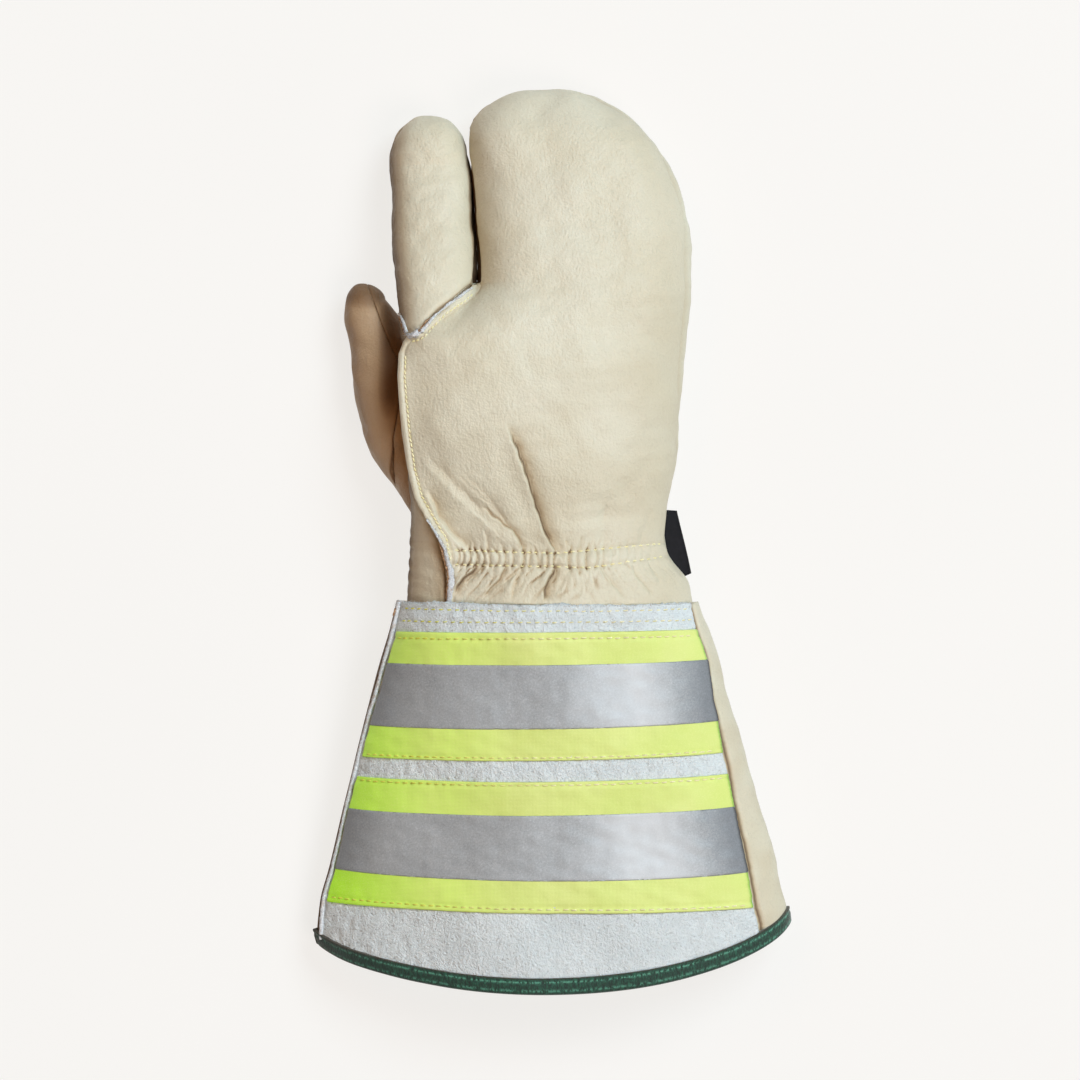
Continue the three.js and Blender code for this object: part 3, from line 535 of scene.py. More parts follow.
def piece(name, finish, vertices, faces, replaced=(), marks=None):
    """A mesh piece that rides on the mitt. marks holds one value a vertex for each named attribute."""
    mesh = bpy.data.meshes.new(name)
    mesh.from_pydata(((np.asarray(vertices) + SHIFT) * MM).tolist(), [], faces)
    for label, values in (marks or {}).items():
        attribute = mesh.attributes.new(label, "FLOAT", "POINT")
        padded = np.zeros(len(mesh.vertices), np.float32)
        padded[: np.size(values)] = np.ravel(values)
        attribute.data.foreach_set("value", padded)
    mesh.validate()
    mesh.shade_smooth()
    mesh.materials.append(finish)
    made = link(name, mesh)
    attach(made, "root")
    if replaced:
        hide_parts(*replaced)
    return made


def surface_tree(made):
    """A tree for finding the surface of a piece, in millimetres of the part's frame."""
    points = np.array([v.co for v in made.data.vertices]) / MM - SHIFT
    return BVHTree.FromPolygons(points.tolist(), [list(p.vertices) for p in made.data.polygons])


def drape(tree, plan):
    """Points on a piece's top under plan points, with the surface's normals."""
    places, normals = [], []
    for x, y in plan:
        found, normal, _, _ = tree.ray_cast(Vector((x, y, ABOVE)), Vector((0, 0, -1)))
        if found is not None:
            places.append(found)
            normals.append(normal if normal.z > 0 else -normal)
    return np.array(places), np.array(normals)


def tube_faces(rows, sides, flipped=False):
    """Faces of a tube with closed ends, whose points come ring by ring."""
    faces = []
    for k in range(rows - 1):
        for i in range(sides):
            j = (i + 1) % sides
            a, b, c, d = k * sides + i, (k + 1) * sides + i, (k + 1) * sides + j, k * sides + j
            faces.append([a, d, c, b] if flipped else [a, b, c, d])
    start, end = list(range(sides)), [(rows - 1) * sides + i for i in range(sides)]
    return faces + ([start[::-1], end] if flipped else [start, end[::-1]])


def tube(path, radius, sides, up=None):
    """Vertices and faces of a tube with closed ends along points, with one radius a point."""
    path = np.asarray(path, float)
    radius = np.broadcast_to(radius, len(path))
    ahead = unit(np.gradient(path, axis=0))
    aside = unit(np.cross(ahead, [0, 0, 1.0] if up is None else up))
    up = np.cross(aside, ahead)
    turn = np.arange(sides) * ROUND / sides
    ring = aside[:, None] * np.cos(turn)[None, :, None] + up[:, None] * np.sin(turn)[None, :, None]
    vertices = (path[:, None] + ring * radius[:, None, None]).reshape(-1, 3)
    return vertices, tube_faces(len(path), sides)


class Parts:
    """Collects small bodies into one mesh."""

    def __init__(self):
        self.vertices, self.faces, self.tones = [], [], []

    def add(self, vertices, faces, tone=0.0):
        start = len(self.vertices)
        self.vertices.extend(np.asarray(vertices).tolist())
        self.faces.extend([[start + i for i in face] for face in faces])
        self.tones.extend([tone] * len(vertices))

    def make(self, name, slot, finish, replaced=()):
        return piece(name, finish, self.vertices, self.faces, replaced, {"tone": self.tones})


# Finishes

def colour(red, green, blue):
    """A colour given as 0 to 255 on screen, for a shader's socket."""
    def linear(v):
        v = v / 255
        return v / 12.92 if v <= 0.04045 else ((v + 0.055) / 1.055) ** 2.4
    return (linear(red), linear(green), linear(blue), 1.0)


class Finish:
    """The nodes of one material."""

    def __init__(self, name, **settings):
        self.material = bpy.data.materials.new(name)
        self.material.use_nodes = True
        self.tree = self.material.node_tree
        self.shader = self.tree.nodes["Principled BSDF"]
        for socket, value in settings.items():
            self.shader.inputs[socket.replace("_", " ")].default_value = value
        self.where = self.tree.nodes.new("ShaderNodeTexCoord").outputs["Object"]

    def node(self, kind, inputs=None, **settings):
        """A node whose inputs are linked to sockets or hold plain values."""
        made = self.tree.nodes.new(kind)
        for name, value in settings.items():
            setattr(made, name, value)
        for name, value in (inputs or {}).items():
            if isinstance(value, bpy.types.NodeSocket):
                self.tree.links.new(value, made.inputs[name])
            else:
                made.inputs[name].default_value = value
        return made

    def noise(self, size, detail=3.0, roughness=0.55, distortion=0.0, stretch=(1, 1, 1), turned=0.0):
        """Noise with features of about that size in millimetres."""
        place_at = self.node("ShaderNodeMapping", {
            "Vector": self.where, "Rotation": (0, 0, turned), "Scale": stretch,
        })
        made = self.node("ShaderNodeTexNoise", {
            "Vector": place_at.outputs[0], "Scale": 1 / (size * MM), "Detail": detail, "Roughness": roughness,
            "Distortion": distortion,
        })
        return made.outputs["Fac"]

    def cells(self, size):
        """Distance to the middle of a cell of about that size in millimetres."""
        inputs = {"Vector": self.where, "Scale": 1 / (size * MM)}
        return self.node("ShaderNodeTexVoronoi", inputs, feature="F1").outputs["Distance"]

    def bands(self, size, direction, distortion=0.0):
        """Stripes that are that many millimetres apart along X or Y."""
        made = self.node("ShaderNodeTexWave", {
            "Vector": self.where, "Scale": ROUND / (20 * size * MM), "Distortion": distortion,
            "Detail": 1.0,
        }, bands_direction=direction)
        return made.outputs["Fac"]

    def across(self):
        """The place from left to right, in metres."""
        return self.node("ShaderNodeSeparateXYZ", {"Vector": self.where}).outputs["X"]

    def mark(self, name):
        """A value that the piece's mesh carries for each vertex."""
        return self.node("ShaderNodeAttribute", attribute_name=name).outputs["Fac"]

    def sums(self, operation, a, b=0.0):
        return self.node("ShaderNodeMath", {0: a, 1: b}, operation=operation).outputs[0]

    def between(self, value, low, high, to_low=0.0, to_high=1.0):
        """The value moved from one range to another and kept inside it."""
        made = self.node("ShaderNodeMapRange", {
            "Value": value, "From Min": low, "From Max": high, "To Min": to_low, "To Max": to_high,
        })
        return made.outputs[0]

    def blend(self, share, first, second):
        """A share of the second colour over the first."""
        made = self.node("ShaderNodeMix", data_type="RGBA", blend_type="MIX")
        for index, value in ((0, share), (6, first), (7, second)):
            if isinstance(value, bpy.types.NodeSocket):
                self.tree.links.new(value, made.inputs[index])
            else:
                made.inputs[index].default_value = value
        return made.outputs[2]

    def ground(self, share, first, second):
        """Starts the base colour, with a share of the second colour over the first."""
        self.base = self.blend(share, colour(*first), colour(*second))

    def coat(self, share, over):
        """Lays a share of one more colour over the base."""
        self.base = self.blend(share, self.base, colour(*over))

    def set(self, socket, value):
        self.tree.links.new(value, self.shader.inputs[socket])

    def finished(self, normal):
        """The material with its base colour and its bump."""
        self.set("Base Color", self.base)
        self.set("Normal", normal)
        return self.material

    def bump(self, height, distance, after=None):
        """Bump whose full height is that distance in millimetres."""
        inputs = {"Height": height, "Distance": distance * MM, "Strength": 1.0}
        if after is not None:
            inputs["Normal"] = after
        return self.node("ShaderNodeBump", inputs).outputs[0]


def grain_leather(name, pale, deep, tan, shade):
    """Smooth cream leather: pores, fine wrinkles, cloudy colour, and painted shade, first tan and then dark
    brown, where the piece's shade mark is set: in creases and folds, on flanks turned from the light, and in
    slits.
    """
    made = Finish(name, Roughness=0.5)
    cloud = made.between(made.noise(38, 2, 0.5), 0.35, 0.65)
    fleck = made.between(made.noise(7, 3, 0.6, 0.4), 0.4, 0.75)
    made.ground(cloud, deep, pale)
    made.coat(made.sums("MULTIPLY", fleck, 0.3), deep)
    pores = made.cells(0.95)
    made.coat(made.between(pores, 0.55, 0.95, 0, 0.06), shade)
    # Painted shade: where the piece's shade mark is set, the colour goes toward tan and then dark brown.
    painted_shade = made.mark("painted_shade")
    made.coat(made.between(painted_shade, 0, 0.55, 0, 0.62), tan)
    made.coat(made.between(painted_shade, 0.3, 1, 0, 0.93), shade)
    made.set("Roughness", made.between(made.noise(3.5, 3), 0.3, 0.7, 0.42, 0.62))
    fine = made.bump(pores, 0.1)
    pebble = made.bump(made.noise(1.5, 3, 0.6), 0.27, fine)
    grain = made.bump(made.noise(1.2, 2, 0.5, 0.4, (1, 0.35, 1), 0.25), 0.23, pebble)
    # Less reflection where shade is painted.
    made.set("Specular IOR Level", made.between(painted_shade, 0.3, 1, 0.4, 0.05))
    return made.finished(made.bump(made.noise(7.0, 3, 0.55, 0.6, (1, 0.45, 1)), 0.22, grain))


def split_leather(name, pale, deep, tan):
    """The rough side of split leather: nap, clumps and scuffs, with a painted highlight on the raised clumps
    and painted shade in the pits between them, deeper toward the left.
    """
    made = Finish(name, Roughness=0.92, Sheen_Weight=0.25, Sheen_Roughness=0.5, Specular_IOR_Level=0.15)
    clumps = made.noise(1.0, 3, 0.65, 0.4, (1, 0.85, 1))
    cloud = made.between(made.noise(18, 3, 0.6), 0.32, 0.7)
    made.ground(cloud, deep, pale)
    # Painted highlight on the raised clumps, and painted shade in the pits, deeper toward the left.
    made.coat(made.between(clumps, 0.52, 0.7, 0, 0.35), (240, 245, 246))
    shade_to_left = made.between(made.across(), -0.085, -0.02, 0.75, 0.28)
    pits = made.between(clumps, 0.42, 0.3, 0, 1)
    made.coat(made.sums("MULTIPLY", pits, shade_to_left), (112, 112, 112))
    made.coat(made.between(made.noise(5.5, 4, 0.6), 0.5, 0.8, 0, 0.2), deep)
    speck = made.between(made.noise(1.6, 2, 0.5), 0.72, 0.76, 0, 0.4)
    made.coat(speck, tan)
    nap = made.bump(made.noise(0.6, 3, 0.7), 0.22)
    lumps = made.bump(clumps, 0.95, nap)
    return made.finished(made.bump(made.noise(6, 3, 0.6), 0.35, lumps))


def fluorescent_cloth(name):
    """Woven tape in fluorescent yellow, painted greener and brighter toward the left, a deeper green with a
    painted glow at its shaded left end, and darker at its right end: painted light and shade.
    """
    # The emission is a painted glow, which only the shaded left end gets.
    made = Finish(
        name, Roughness=0.55, Sheen_Weight=0.35, Sheen_Roughness=0.35, Emission_Color=colour(140, 225, 20))
    cloud = made.between(made.noise(30, 2, 0.5), 0.3, 0.7)
    made.ground(cloud, (208, 226, 122), (217, 230, 138))
    # Painted light and shade: greener toward the left, deep green at the left end, and darker green at the
    # right end.
    made.coat(made.between(made.across(), -0.042, -0.016, 1, 0), (219, 248, 124))
    shade = made.between(made.across(), -0.09, -0.05, 1, 0)
    made.coat(shade, (174, 224, 48))
    made.coat(made.mark("end"), (112, 176, 26))
    thread = made.noise(0.55, 2, 0.6)
    made.coat(made.between(thread, 0.5, 0.75, 0, 0.3), (235, 240, 165))
    weave = made.sums("ADD", made.bands(0.55, "X", 0.6), made.bands(0.55, "Y", 0.6))
    fine = made.bump(weave, 0.02)
    made.set("Emission Strength", made.sums("MULTIPLY", shade, 0.22))
    return made.finished(made.bump(made.noise(4.5, 3), 0.2, fine))


def beaded_silver(name):
    """Reflective tape: a coat of tiny glass beads over grey, with painted shade at both ends, where it turns
    away, a painted highlight right of its middle, and painted shade at its cut right end.
    """
    made = Finish(name, Metallic=0.12)
    beads = made.noise(0.42, 2, 0.7)
    cloud = made.between(made.noise(14, 4, 0.6), 0.3, 0.7)
    made.ground(cloud, (153, 159, 162), (165, 171, 174))
    made.coat(made.between(beads, 0.35, 0.7, 0, 0.4), (196, 202, 205))
    mottle = made.noise(0.8, 4, 0.75)
    made.coat(made.between(mottle, 0.52, 0.72, 0, 0.3), (228, 233, 236))
    made.coat(made.between(mottle, 0.48, 0.3, 0, 0.3), (104, 108, 112))
    sway = made.noise(22, 2, 0.5)
    place_at = made.sums("ADD", made.across(), made.sums("MULTIPLY", sway, 0.03))
    from_right = made.sums("ADD", made.mark("from_right"), made.sums("MULTIPLY", sway, 12.0))
    # Painted shade at both ends, where the tape turns away, and a painted highlight right of its middle.
    left_end = made.between(made.mark("from_left"), 2, 20, 0.45, 0)
    right_end = made.between(from_right, 9, 27, 0.55, 0)
    turned = made.sums("MAXIMUM", left_end, right_end)
    made.coat(turned, (89, 94, 102))
    lit = made.sums("MULTIPLY", made.between(place_at, 0.022, 0.048), made.between(from_right, 24, 38))
    made.coat(made.sums("MULTIPLY", lit, 0.55), (222, 228, 231))
    scuff = made.between(made.noise(2.0, 4, 0.7, 0.8), 0.64, 0.8, 0, 0.1)
    made.coat(scuff, (112, 117, 122))
    # Painted shade at the cut right end.
    made.coat(made.mark("end"), (58, 54, 52))
    made.set("Roughness", made.between(made.noise(3.0, 3), 0.3, 0.7, 0.5, 0.62))
    return made.finished(made.bump(made.noise(5, 3), 0.015, made.bump(beads, 0.05)))


def woven_binding(name):
    """Dark green braid with bright flecks, painted darker toward the left as shade. Its marks: rib runs
    across its ribs, row is where its flecks line up, and rim is its edge, painted brown as the shade along
    it."""
    made = Finish(name, Roughness=0.7, Sheen_Weight=0.3)
    rib = made.mark("rib")
    thread = made.noise(0.75, 3, 0.7, 0.3, (1, 0.4, 1))
    made.ground(rib, (6, 43, 31), (15, 61, 45))
    made.coat(made.between(thread, 0.5, 0.7, 0, 0.5), (44, 122, 94))
    made.coat(made.between(thread, 0.46, 0.34, 0, 0.7), (4, 26, 18))
    made.coat(made.between(made.noise(9, 3), 0.4, 0.7, 0, 0.3), (10, 44, 32))
    fleck = made.between(made.noise(1.0, 2, 0.6, 0, (1, 0.5, 1)), 0.44, 0.56)
    made.coat(made.sums("MULTIPLY", made.mark("row"), fleck), (88, 158, 132))
    # Painted shade toward the left, and along the rim.
    made.coat(made.between(made.across(), -0.1, -0.03, 0.5, 0), (4, 24, 17))
    made.coat(made.sums("MULTIPLY", made.mark("rim"), 0.6), (70, 48, 32))
    return made.finished(made.bump(thread, 0.3, made.bump(rib, 0.05)))


def satin_label(name):
    made = Finish(name, Roughness=0.6, Specular_IOR_Level=0.2)
    weave = made.sums("ADD", made.bands(0.4, "X"), made.bands(0.4, "Y"))
    made.ground(made.between(made.noise(2.4, 3), 0.3, 0.7), (8, 7, 10), (18, 16, 22))
    return made.finished(made.bump(weave, 0.03, made.bump(made.noise(3, 2), 0.1)))


def raw_edge(name):
    """The cut edge of leather: pale fibres with a tan line of grain."""
    made = Finish(name, Roughness=0.95)
    fibres = made.noise(0.8, 4, 0.75)
    made.ground(made.between(fibres, 0.35, 0.7), (184, 189, 192), (238, 243, 246))
    made.coat(made.between(made.noise(2.6, 3, 0.6), 0.56, 0.7, 0, 0.6), (176, 152, 120))
    grain = made.blend(made.between(fibres, 0.4, 0.65), colour(124, 90, 64), colour(208, 172, 134))
    made.base = made.blend(made.between(made.mark("tone"), 0.6, 0.9), made.base, grain)
    return made.finished(made.bump(fibres, 0.4))


def yellow_thread(name, shade_to_left=0.0):
    """Pale yellow thread. The second argument is how much painted shade, a deeper yellow, it gets toward the
    left.
    """
    made = Finish(name, Roughness=0.6, Specular_IOR_Level=0.15)
    tone = made.mark("tone")
    made.ground(tone, (236, 230, 178), (248, 245, 208))
    twist = made.noise(0.5, 2, 0.6)
    made.coat(made.between(twist, 0.45, 0.7, 0, 0.2), (206, 192, 128))
    # Painted shade toward the left: a deeper yellow.
    made.coat(made.between(made.across(), -0.05, 0.01, shade_to_left, 0), (206, 210, 28))
    return made.finished(made.bump(twist, 0.12))


def pale_floor(name):
    made = Finish(
        name, Roughness=0.9, Specular_IOR_Level=0.1,
        Emission_Color=colour(248, 247, 244), Emission_Strength=0.83)
    cloud = made.between(made.noise(240, 2), 0.3, 0.7)
    made.set("Base Color", made.blend(cloud, colour(107, 106, 105), colour(110, 109, 108)))
    return made.material


CREAM = grain_leather("cream_grain_leather", (216, 213, 193), (211, 206, 183), (172, 143, 98), (78, 51, 32))
# The thumb's leather is a darker, browner copy of the cream one: painted shade for the thumb, which lies low
# in the hand's shadow.
SHADED_CREAM = grain_leather("shade_painted_grain_leather", (196, 172, 142), (184, 158, 126), (158, 126, 90), (84, 58, 38))
SUEDE = split_leather("grey_split_leather", (226, 236, 238), (214, 224, 226), (150, 132, 108))
LIME = fluorescent_cloth("fluorescent_cloth")
SILVER = beaded_silver("beaded_silver")
GREEN = woven_binding("green_binding")
BLACK = satin_label("black_satin")
RAW = raw_edge("raw_leather_edge")
THREAD = yellow_thread("yellow_thread")
# The cuff's thread gets painted shade toward the left.
CUFF_THREAD = yellow_thread("cuff_thread", 0.8)


# The hand's pieces

HAND_COLUMNS, FINGER_COLUMNS, THUMB_COLUMNS = 265, 91, 101  # points across each leather
FINGER_ROWS = 161


def from_sides(grid):
    """How far each point of a grid is from its first and from its last column."""
    return distance_to(grid, grid[:, 0]), distance_to(grid, grid[:, -1])


def odd(values):
    """The same run of values with an odd count, which a thick sheet needs."""
    return values if len(values) % 2 else np.concatenate([values, values[-1:] + 1e-3])


def tall(section):
    """A section's columns as rows of a grid."""
    return {name: values[:, None] for name, values in section.items()}


def painted_left_shade(normal):
    """Painted shade, browner and darker, on leather that turns away to the left, where less light falls."""
    return 0.45 * ease(0.35, 0.95, -normal[..., 0]) + 0.4 * ease(0.85, 1, -normal[..., 0])


def roll(distance, radius):
    """How far a rounded edge has sunk at a distance from it."""
    left = radius - np.clip(distance, 0, radius)
    return -(radius - np.sqrt(np.maximum(radius**2 - left**2, 0)))


def lifted(points):
    """The back of the hand where the finger grows out of it."""
    x, y, z = points[..., 0], points[..., 1], points[..., 2]
    finger = np.where(y > FINGER[0][0], height_to_slit(finger_at(y), x, y), FAR_BELOW)
    out = points.copy()
    out[..., 2] = highest(z, finger)
    return out


def held_beside(x, limit, sign):
    """x kept on one side of a limit: the right for a sign above 0."""
    return np.maximum(x, limit) if sign > 0 else np.minimum(x, limit)


def beside_crevice(points, sign):
    """Keeps a wall on its own side of the slit between the finger and the pocket."""
    out = points.copy()
    middle = line_at(CREVICE, points[..., 1])
    beyond = points[..., 1] > CREVICE[0][1]
    gap = CREVICE_GAP + CREVICE_OPEN * bell(points[..., 1] - CREVICE[0][1] - 3, 16)
    held = held_beside(points[..., 0], middle + sign * gap, sign)
    out[..., 0] = np.where(beyond, held, points[..., 0])
    return out


def shoulders(turn, y):
    """Fullness beside the middle of the back, which makes its top flatter than its section."""
    return 2.4 * np.sin(2 * turn) ** 2 * ease(-22, 30, y) * ease(0, 22, POCKET_TIP[1] - y)


def seam_lift(y):
    """How far the left seam stands above the section."""
    return 9.5 * ease(-30, 18, y) * ease(93, 66, y)


def lip_out(y):
    """How far the left seam's lip stands out over the palm."""
    return 1.0 * ease(-4, 4, y) * ease(92, 78, y)


def stitched_edge(distance):
    """Relief of a turned edge with a row of stitches beside it."""
    return roll(distance, 1.2) + 0.35 * bell(distance - 1.6, 0.9) - 0.4 * bell(distance - 3.1, 0.6)


def follow_down(relief):
    """The depth that a sheet's inner side sinks by, to stay under its folds."""
    reach = 4  # in steps of the grid
    low = np.minimum(relief, 0)
    for _ in range(reach):
        for axis in (0, 1):
            low = np.minimum(low, np.minimum(np.roll(low, 1, axis), np.roll(low, -1, axis)))
    return low


def hand_grid():
    """A grid over the back of the hand, with its left seam raised to a lip, and distances from that seam."""
    y = np.concatenate([
        np.arange(HAND[0][0], 18, 0.55), np.arange(18, 60, 0.9), np.arange(60, 78, 1.2),
        np.arange(78, 107, 0.5), np.arange(107, CLOSING_FROM, 1.3),
        dome(CLOSING_FROM, POCKET_TIP[1] - CLOSING_FROM, 31),
    ])
    section = hand_at(odd(y))
    line = line_at(LEFT_SEAM, section["y"])
    first = mix(turn_of(section, line), 0.12, ease(103.5, 108, section["y"]))
    seam = line_at(POCKET_SEAM, section["y"])
    last = np.minimum(turn_of(section, section["right"] - seam), math.pi - 0.06)
    turn = turns_between(first, last, HAND_COLUMNS)
    base = place(tall(section), turn)
    base[..., 2] += shoulders(turn, base[..., 1])
    base = beside_crevice(lifted(base), 1)
    flat = base * [1, 1, 0]
    from_seam = distance_to(flat, flat[:, 0])
    base[..., 2] += seam_lift(base[..., 1]) * np.exp(-from_seam / LIP_REACH)
    base[..., 0] -= lip_out(base[..., 1]) * np.exp(-from_seam / 3.0)
    return base, from_seam


def hand_back():
    """The back of the hand and of the pocket, with its folds and the gathered wrist."""
    base, from_seam = hand_grid()
    left, right = from_sides(base)
    normal = normals_of(base)
    x, y, plan = base[..., 0], base[..., 1], base[..., :2]
    crease, painted_shade = fold_relief(plan)
    inside = ease(2.2, 5, left) * ease(0.5, 4, right)
    pull, creased = gathers(plan)
    pull *= ease(0, 3.0, left) * ease(-0.5, 2, right)
    relief = crease * inside + pull + 0.32 * waves(plan, 30, 5) + 0.1 * waves(plan, 9, 6)
    sewn = ease(106, 102, y)
    relief += stitched_edge(left) * sewn + roll(right, 1.5) * ease(35, 55, y)
    relief = mix(relief, -UNDER_CUFF, ease(-25.5, -29, y))
    # Beside its edge the sheet goes straight down, so that its inner side stays under its outer one.
    steep = np.array([0.08, 0.08, 1.0])
    upright = unit(normal * mix(1.0, steep, np.exp(-from_seam / 3.5)[..., None]))
    outer = base + upright * relief[..., None]
    inner = base + upright * (follow_down(relief) - LEATHER)[..., None]
    # Painted shade: in the folds, in the wrist's puckers and wrinkles, in the groove beside the stitches,
    # along the slit's edge, on the flank turned to the left and, a little, on the right flank.
    painted_shade = np.maximum.reduce([
        painted_shade * inside,
        0.2 * bell(left - 3.1, 0.5) * sewn,
        0.8 * bell(left, 1.5) * (1 - sewn) * ease(152, 136, y),
        0.9 * ease(0.2, 1.0, -pull),
        0.8 * creased * ease(0, 3.0, left),
        painted_left_shade(normal) * mix(1.0, 0.5, ease(96, 108, y)),
        0.12 * ease(0.15, 0.6, normal[..., 0]) * ease(0, 25, x),
    ])
    return leather_sheet("hand_back_leather", CREAM, outer, inner, "hand_back", painted_shade)


def finger_base(x):
    """y of the seam at the finger's base."""
    points = ((-66, 78.0), (-62.5, 79.0)) + FINGER_SEAM + (SEAM_END,)
    return np.interp(x, *zip(*points))


def finger_back():
    """The index finger's back, up from the seam at its base and round its tip."""
    turn = np.linspace(0.1, math.pi - 0.1, FINGER_COLUMNS)[None, :]
    tip = FINGER_TIP[1]
    share = dome(0, 1, FINGER_ROWS)[:, None]
    # Each turn's first row lies on the seam, whose y depends on the x that the row itself gives.
    start = np.full_like(turn, 90.0)
    for _ in range(6):
        start = finger_base(place(finger_at(start), turn)[..., 0])
    y = mix(start, tip, share)
    base = place(finger_at(y), np.broadcast_to(turn, y.shape))
    base[..., 2] += 1.3 * np.sin(2 * turn) ** 2 * ease(0, 8, tip - base[..., 1])
    base = beside_crevice(base, -1)
    x, z = base[..., 0], base[..., 2]
    base[..., 2] = highest(z, height_to_slit(hand_at(y), x, y))
    normal = normals_of(base)
    seam = distance_to(base, base[0])
    relief = roll(seam, 1.8) - 0.5 * bell(seam - 1.0, 1.2)
    relief += 0.3 * waves(base[..., :2], 24, 8) + 0.1 * waves(base[..., :2], 8, 9)
    outer = base + normal * relief[..., None]
    beside_slit = line_at(CREVICE, y) - base[..., 0]
    # Painted shade beside the seam at its base, on its left flank and beside the slit.
    painted_shade = np.maximum.reduce([
        0.8 * bell(seam, 0.9),
        painted_left_shade(normal),
        0.92 * ease(0.87, 1, -normal[..., 0]),
        0.85 * ease(2.5, 0.7, beside_slit) * ease(96, 104, y) * mix(0.3, 1, ease(160, 142, y)),
    ])
    return leather_sheet("finger_back_leather", CREAM, outer, base - normal * LEATHER, "finger_back", painted_shade)


def thumb_half(name, node, first, last, seed):
    """Half of the thumb's stall, from one turn to another on every section."""
    y = np.concatenate([np.arange(0, 80, 1.0), dome(80, THUMB_TIP[1] - 80, 41)])
    section = thumb_at(odd(y))
    seam = np.maximum(turn_of(section, line_at(THUMB_SEAM, section["y"])), 0.35)
    turn = turns_between(first(seam), last(seam), THUMB_COLUMNS)
    base = place(tall(section), turn)
    normal = normals_of(base)
    edge = np.minimum(*from_sides(base))
    relief = roll(edge, 0.9) + 0.45 * waves(base[..., 1:], 26, seed)
    relief += 0.12 * waves(base[..., 1:], 9, seed + 1)
    outer = base + normal * relief[..., None]
    # Painted shade at its seams, on its left flank, toward its tip and where the hand overhangs it.
    painted_shade = np.maximum.reduce([
        0.8 * bell(edge, 0.6),
        0.45 * ease(0.5, 0.95, -normal[..., 0]),
        0.75 * ease(90, 101, base[..., 1]),
        0.8 * ease(-75, -67, base[..., 0]) * ease(40, 60, base[..., 1]),
    ])
    return leather_sheet(name, SHADED_CREAM, outer, base - normal * LEATHER, node, painted_shade)


def leather_sheet(name, finish, outer, inner, node, painted_shade):
    """A piece of grain leather between two grids. The last argument is how much painted shade each outer
    point gets, from 0 to 1.
    """
    vertices, faces = thick_sheet(outer, inner)
    return piece(name, finish, vertices, faces, [node], {"painted_shade": painted_shade})


def closed_tube(sections, rows, sides, squeeze):
    """A closed body over sections, for the remesh. squeeze keeps it off the slit between the stalls."""
    turn = np.linspace(0, ROUND, sides, endpoint=False)[None, :]
    points = squeeze(place(tall(sections), np.broadcast_to(turn, (rows, sides))))
    index = np.arange(rows * sides).reshape(rows, sides)
    after = np.roll(index, -1, axis=1)
    faces = np.stack([index[:-1], after[:-1], after[1:], index[1:]], -1).reshape(-1, 4).tolist()
    faces += [index[0].tolist()[::-1], index[-1].tolist()]
    return points.reshape(-1, 3), faces


def remeshed(vertices, faces):
    """An even mesh over the union of closed bodies, as points in millimetres and faces."""
    mesh = bpy.data.meshes.new("union")
    mesh.from_pydata((np.asarray(vertices) * MM).tolist(), [], faces)
    made = link("union", mesh)
    remesh = made.modifiers.new("remesh", "REMESH")
    remesh.mode = "VOXEL"
    remesh.voxel_size = PALM_CELL * MM
    relax = made.modifiers.new("relax", "SMOOTH")
    relax.factor = 0.5
    relax.iterations = 5
    evaluated = made.evaluated_get(bpy.context.evaluated_depsgraph_get())
    result = bpy.data.meshes.new_from_object(evaluated)
    points = np.array([v.co for v in result.vertices]) / MM
    quads = [list(p.vertices) for p in result.polygons]
    normals = np.array([v.normal for v in result.vertices])
    bpy.data.objects.remove(made)
    return points, quads, normals


def off_slit(sign):
    """A function that keeps points clear of the slit, on the right of it for a sign above 0."""
    def squeeze(points):
        out = points.copy()
        beyond = ease(CREVICE[0][1] - 2, CREVICE[0][1] + 3, points[..., 1])
        held = held_beside(points[..., 0], line_at(CREVICE, points[..., 1]) + sign * PALM_SPREAD, sign)
        out[..., 0] = mix(points[..., 0], held, beyond)
        return out
    return squeeze


def palm_union():
    """An even mesh over the hand's and the finger's whole stalls, from which the palm is cut."""
    hand_reach, finger_reach = POCKET_TIP[1] - CLOSING_FROM, FINGER_TIP[1] - CLOSING_FROM
    hand_y = np.concatenate([np.arange(-40, CLOSING_FROM, 3.0), dome(CLOSING_FROM, hand_reach, 18, 0.05)])
    hand_section = hand_at(np.maximum(hand_y, HAND[0][0]))
    hand_section["y"] = hand_y
    finger_y = np.concatenate([np.arange(74, CLOSING_FROM, 3.0), dome(CLOSING_FROM, finger_reach, 14, 0.05)])
    hand = closed_tube(hand_section, len(hand_y), 96, off_slit(1))
    finger = closed_tube(finger_at(finger_y), len(finger_y), 48, off_slit(-1))
    faces = hand[1] + [[i + len(hand[0]) for i in face] for face in finger[1]]
    return remeshed(np.vstack([hand[0], finger[0]]), faces)


def close_slit(points, off, y):
    """Brings the palm's walls beside the slit together. off is their old distance from it."""
    reach = 3.5
    moved = np.abs(points[:, 0] - line_at(CREVICE, points[:, 1]))
    spread = PALM_SPREAD
    closer = CREVICE_TOUCH + np.maximum(moved - spread, 0) * (reach - CREVICE_TOUCH) / (reach - spread)
    closed = np.where(moved < reach, ease(103, 107, y) * ease(164, 152, y), 0)
    points[:, 0] += np.sign(off) * (closer - moved) * closed


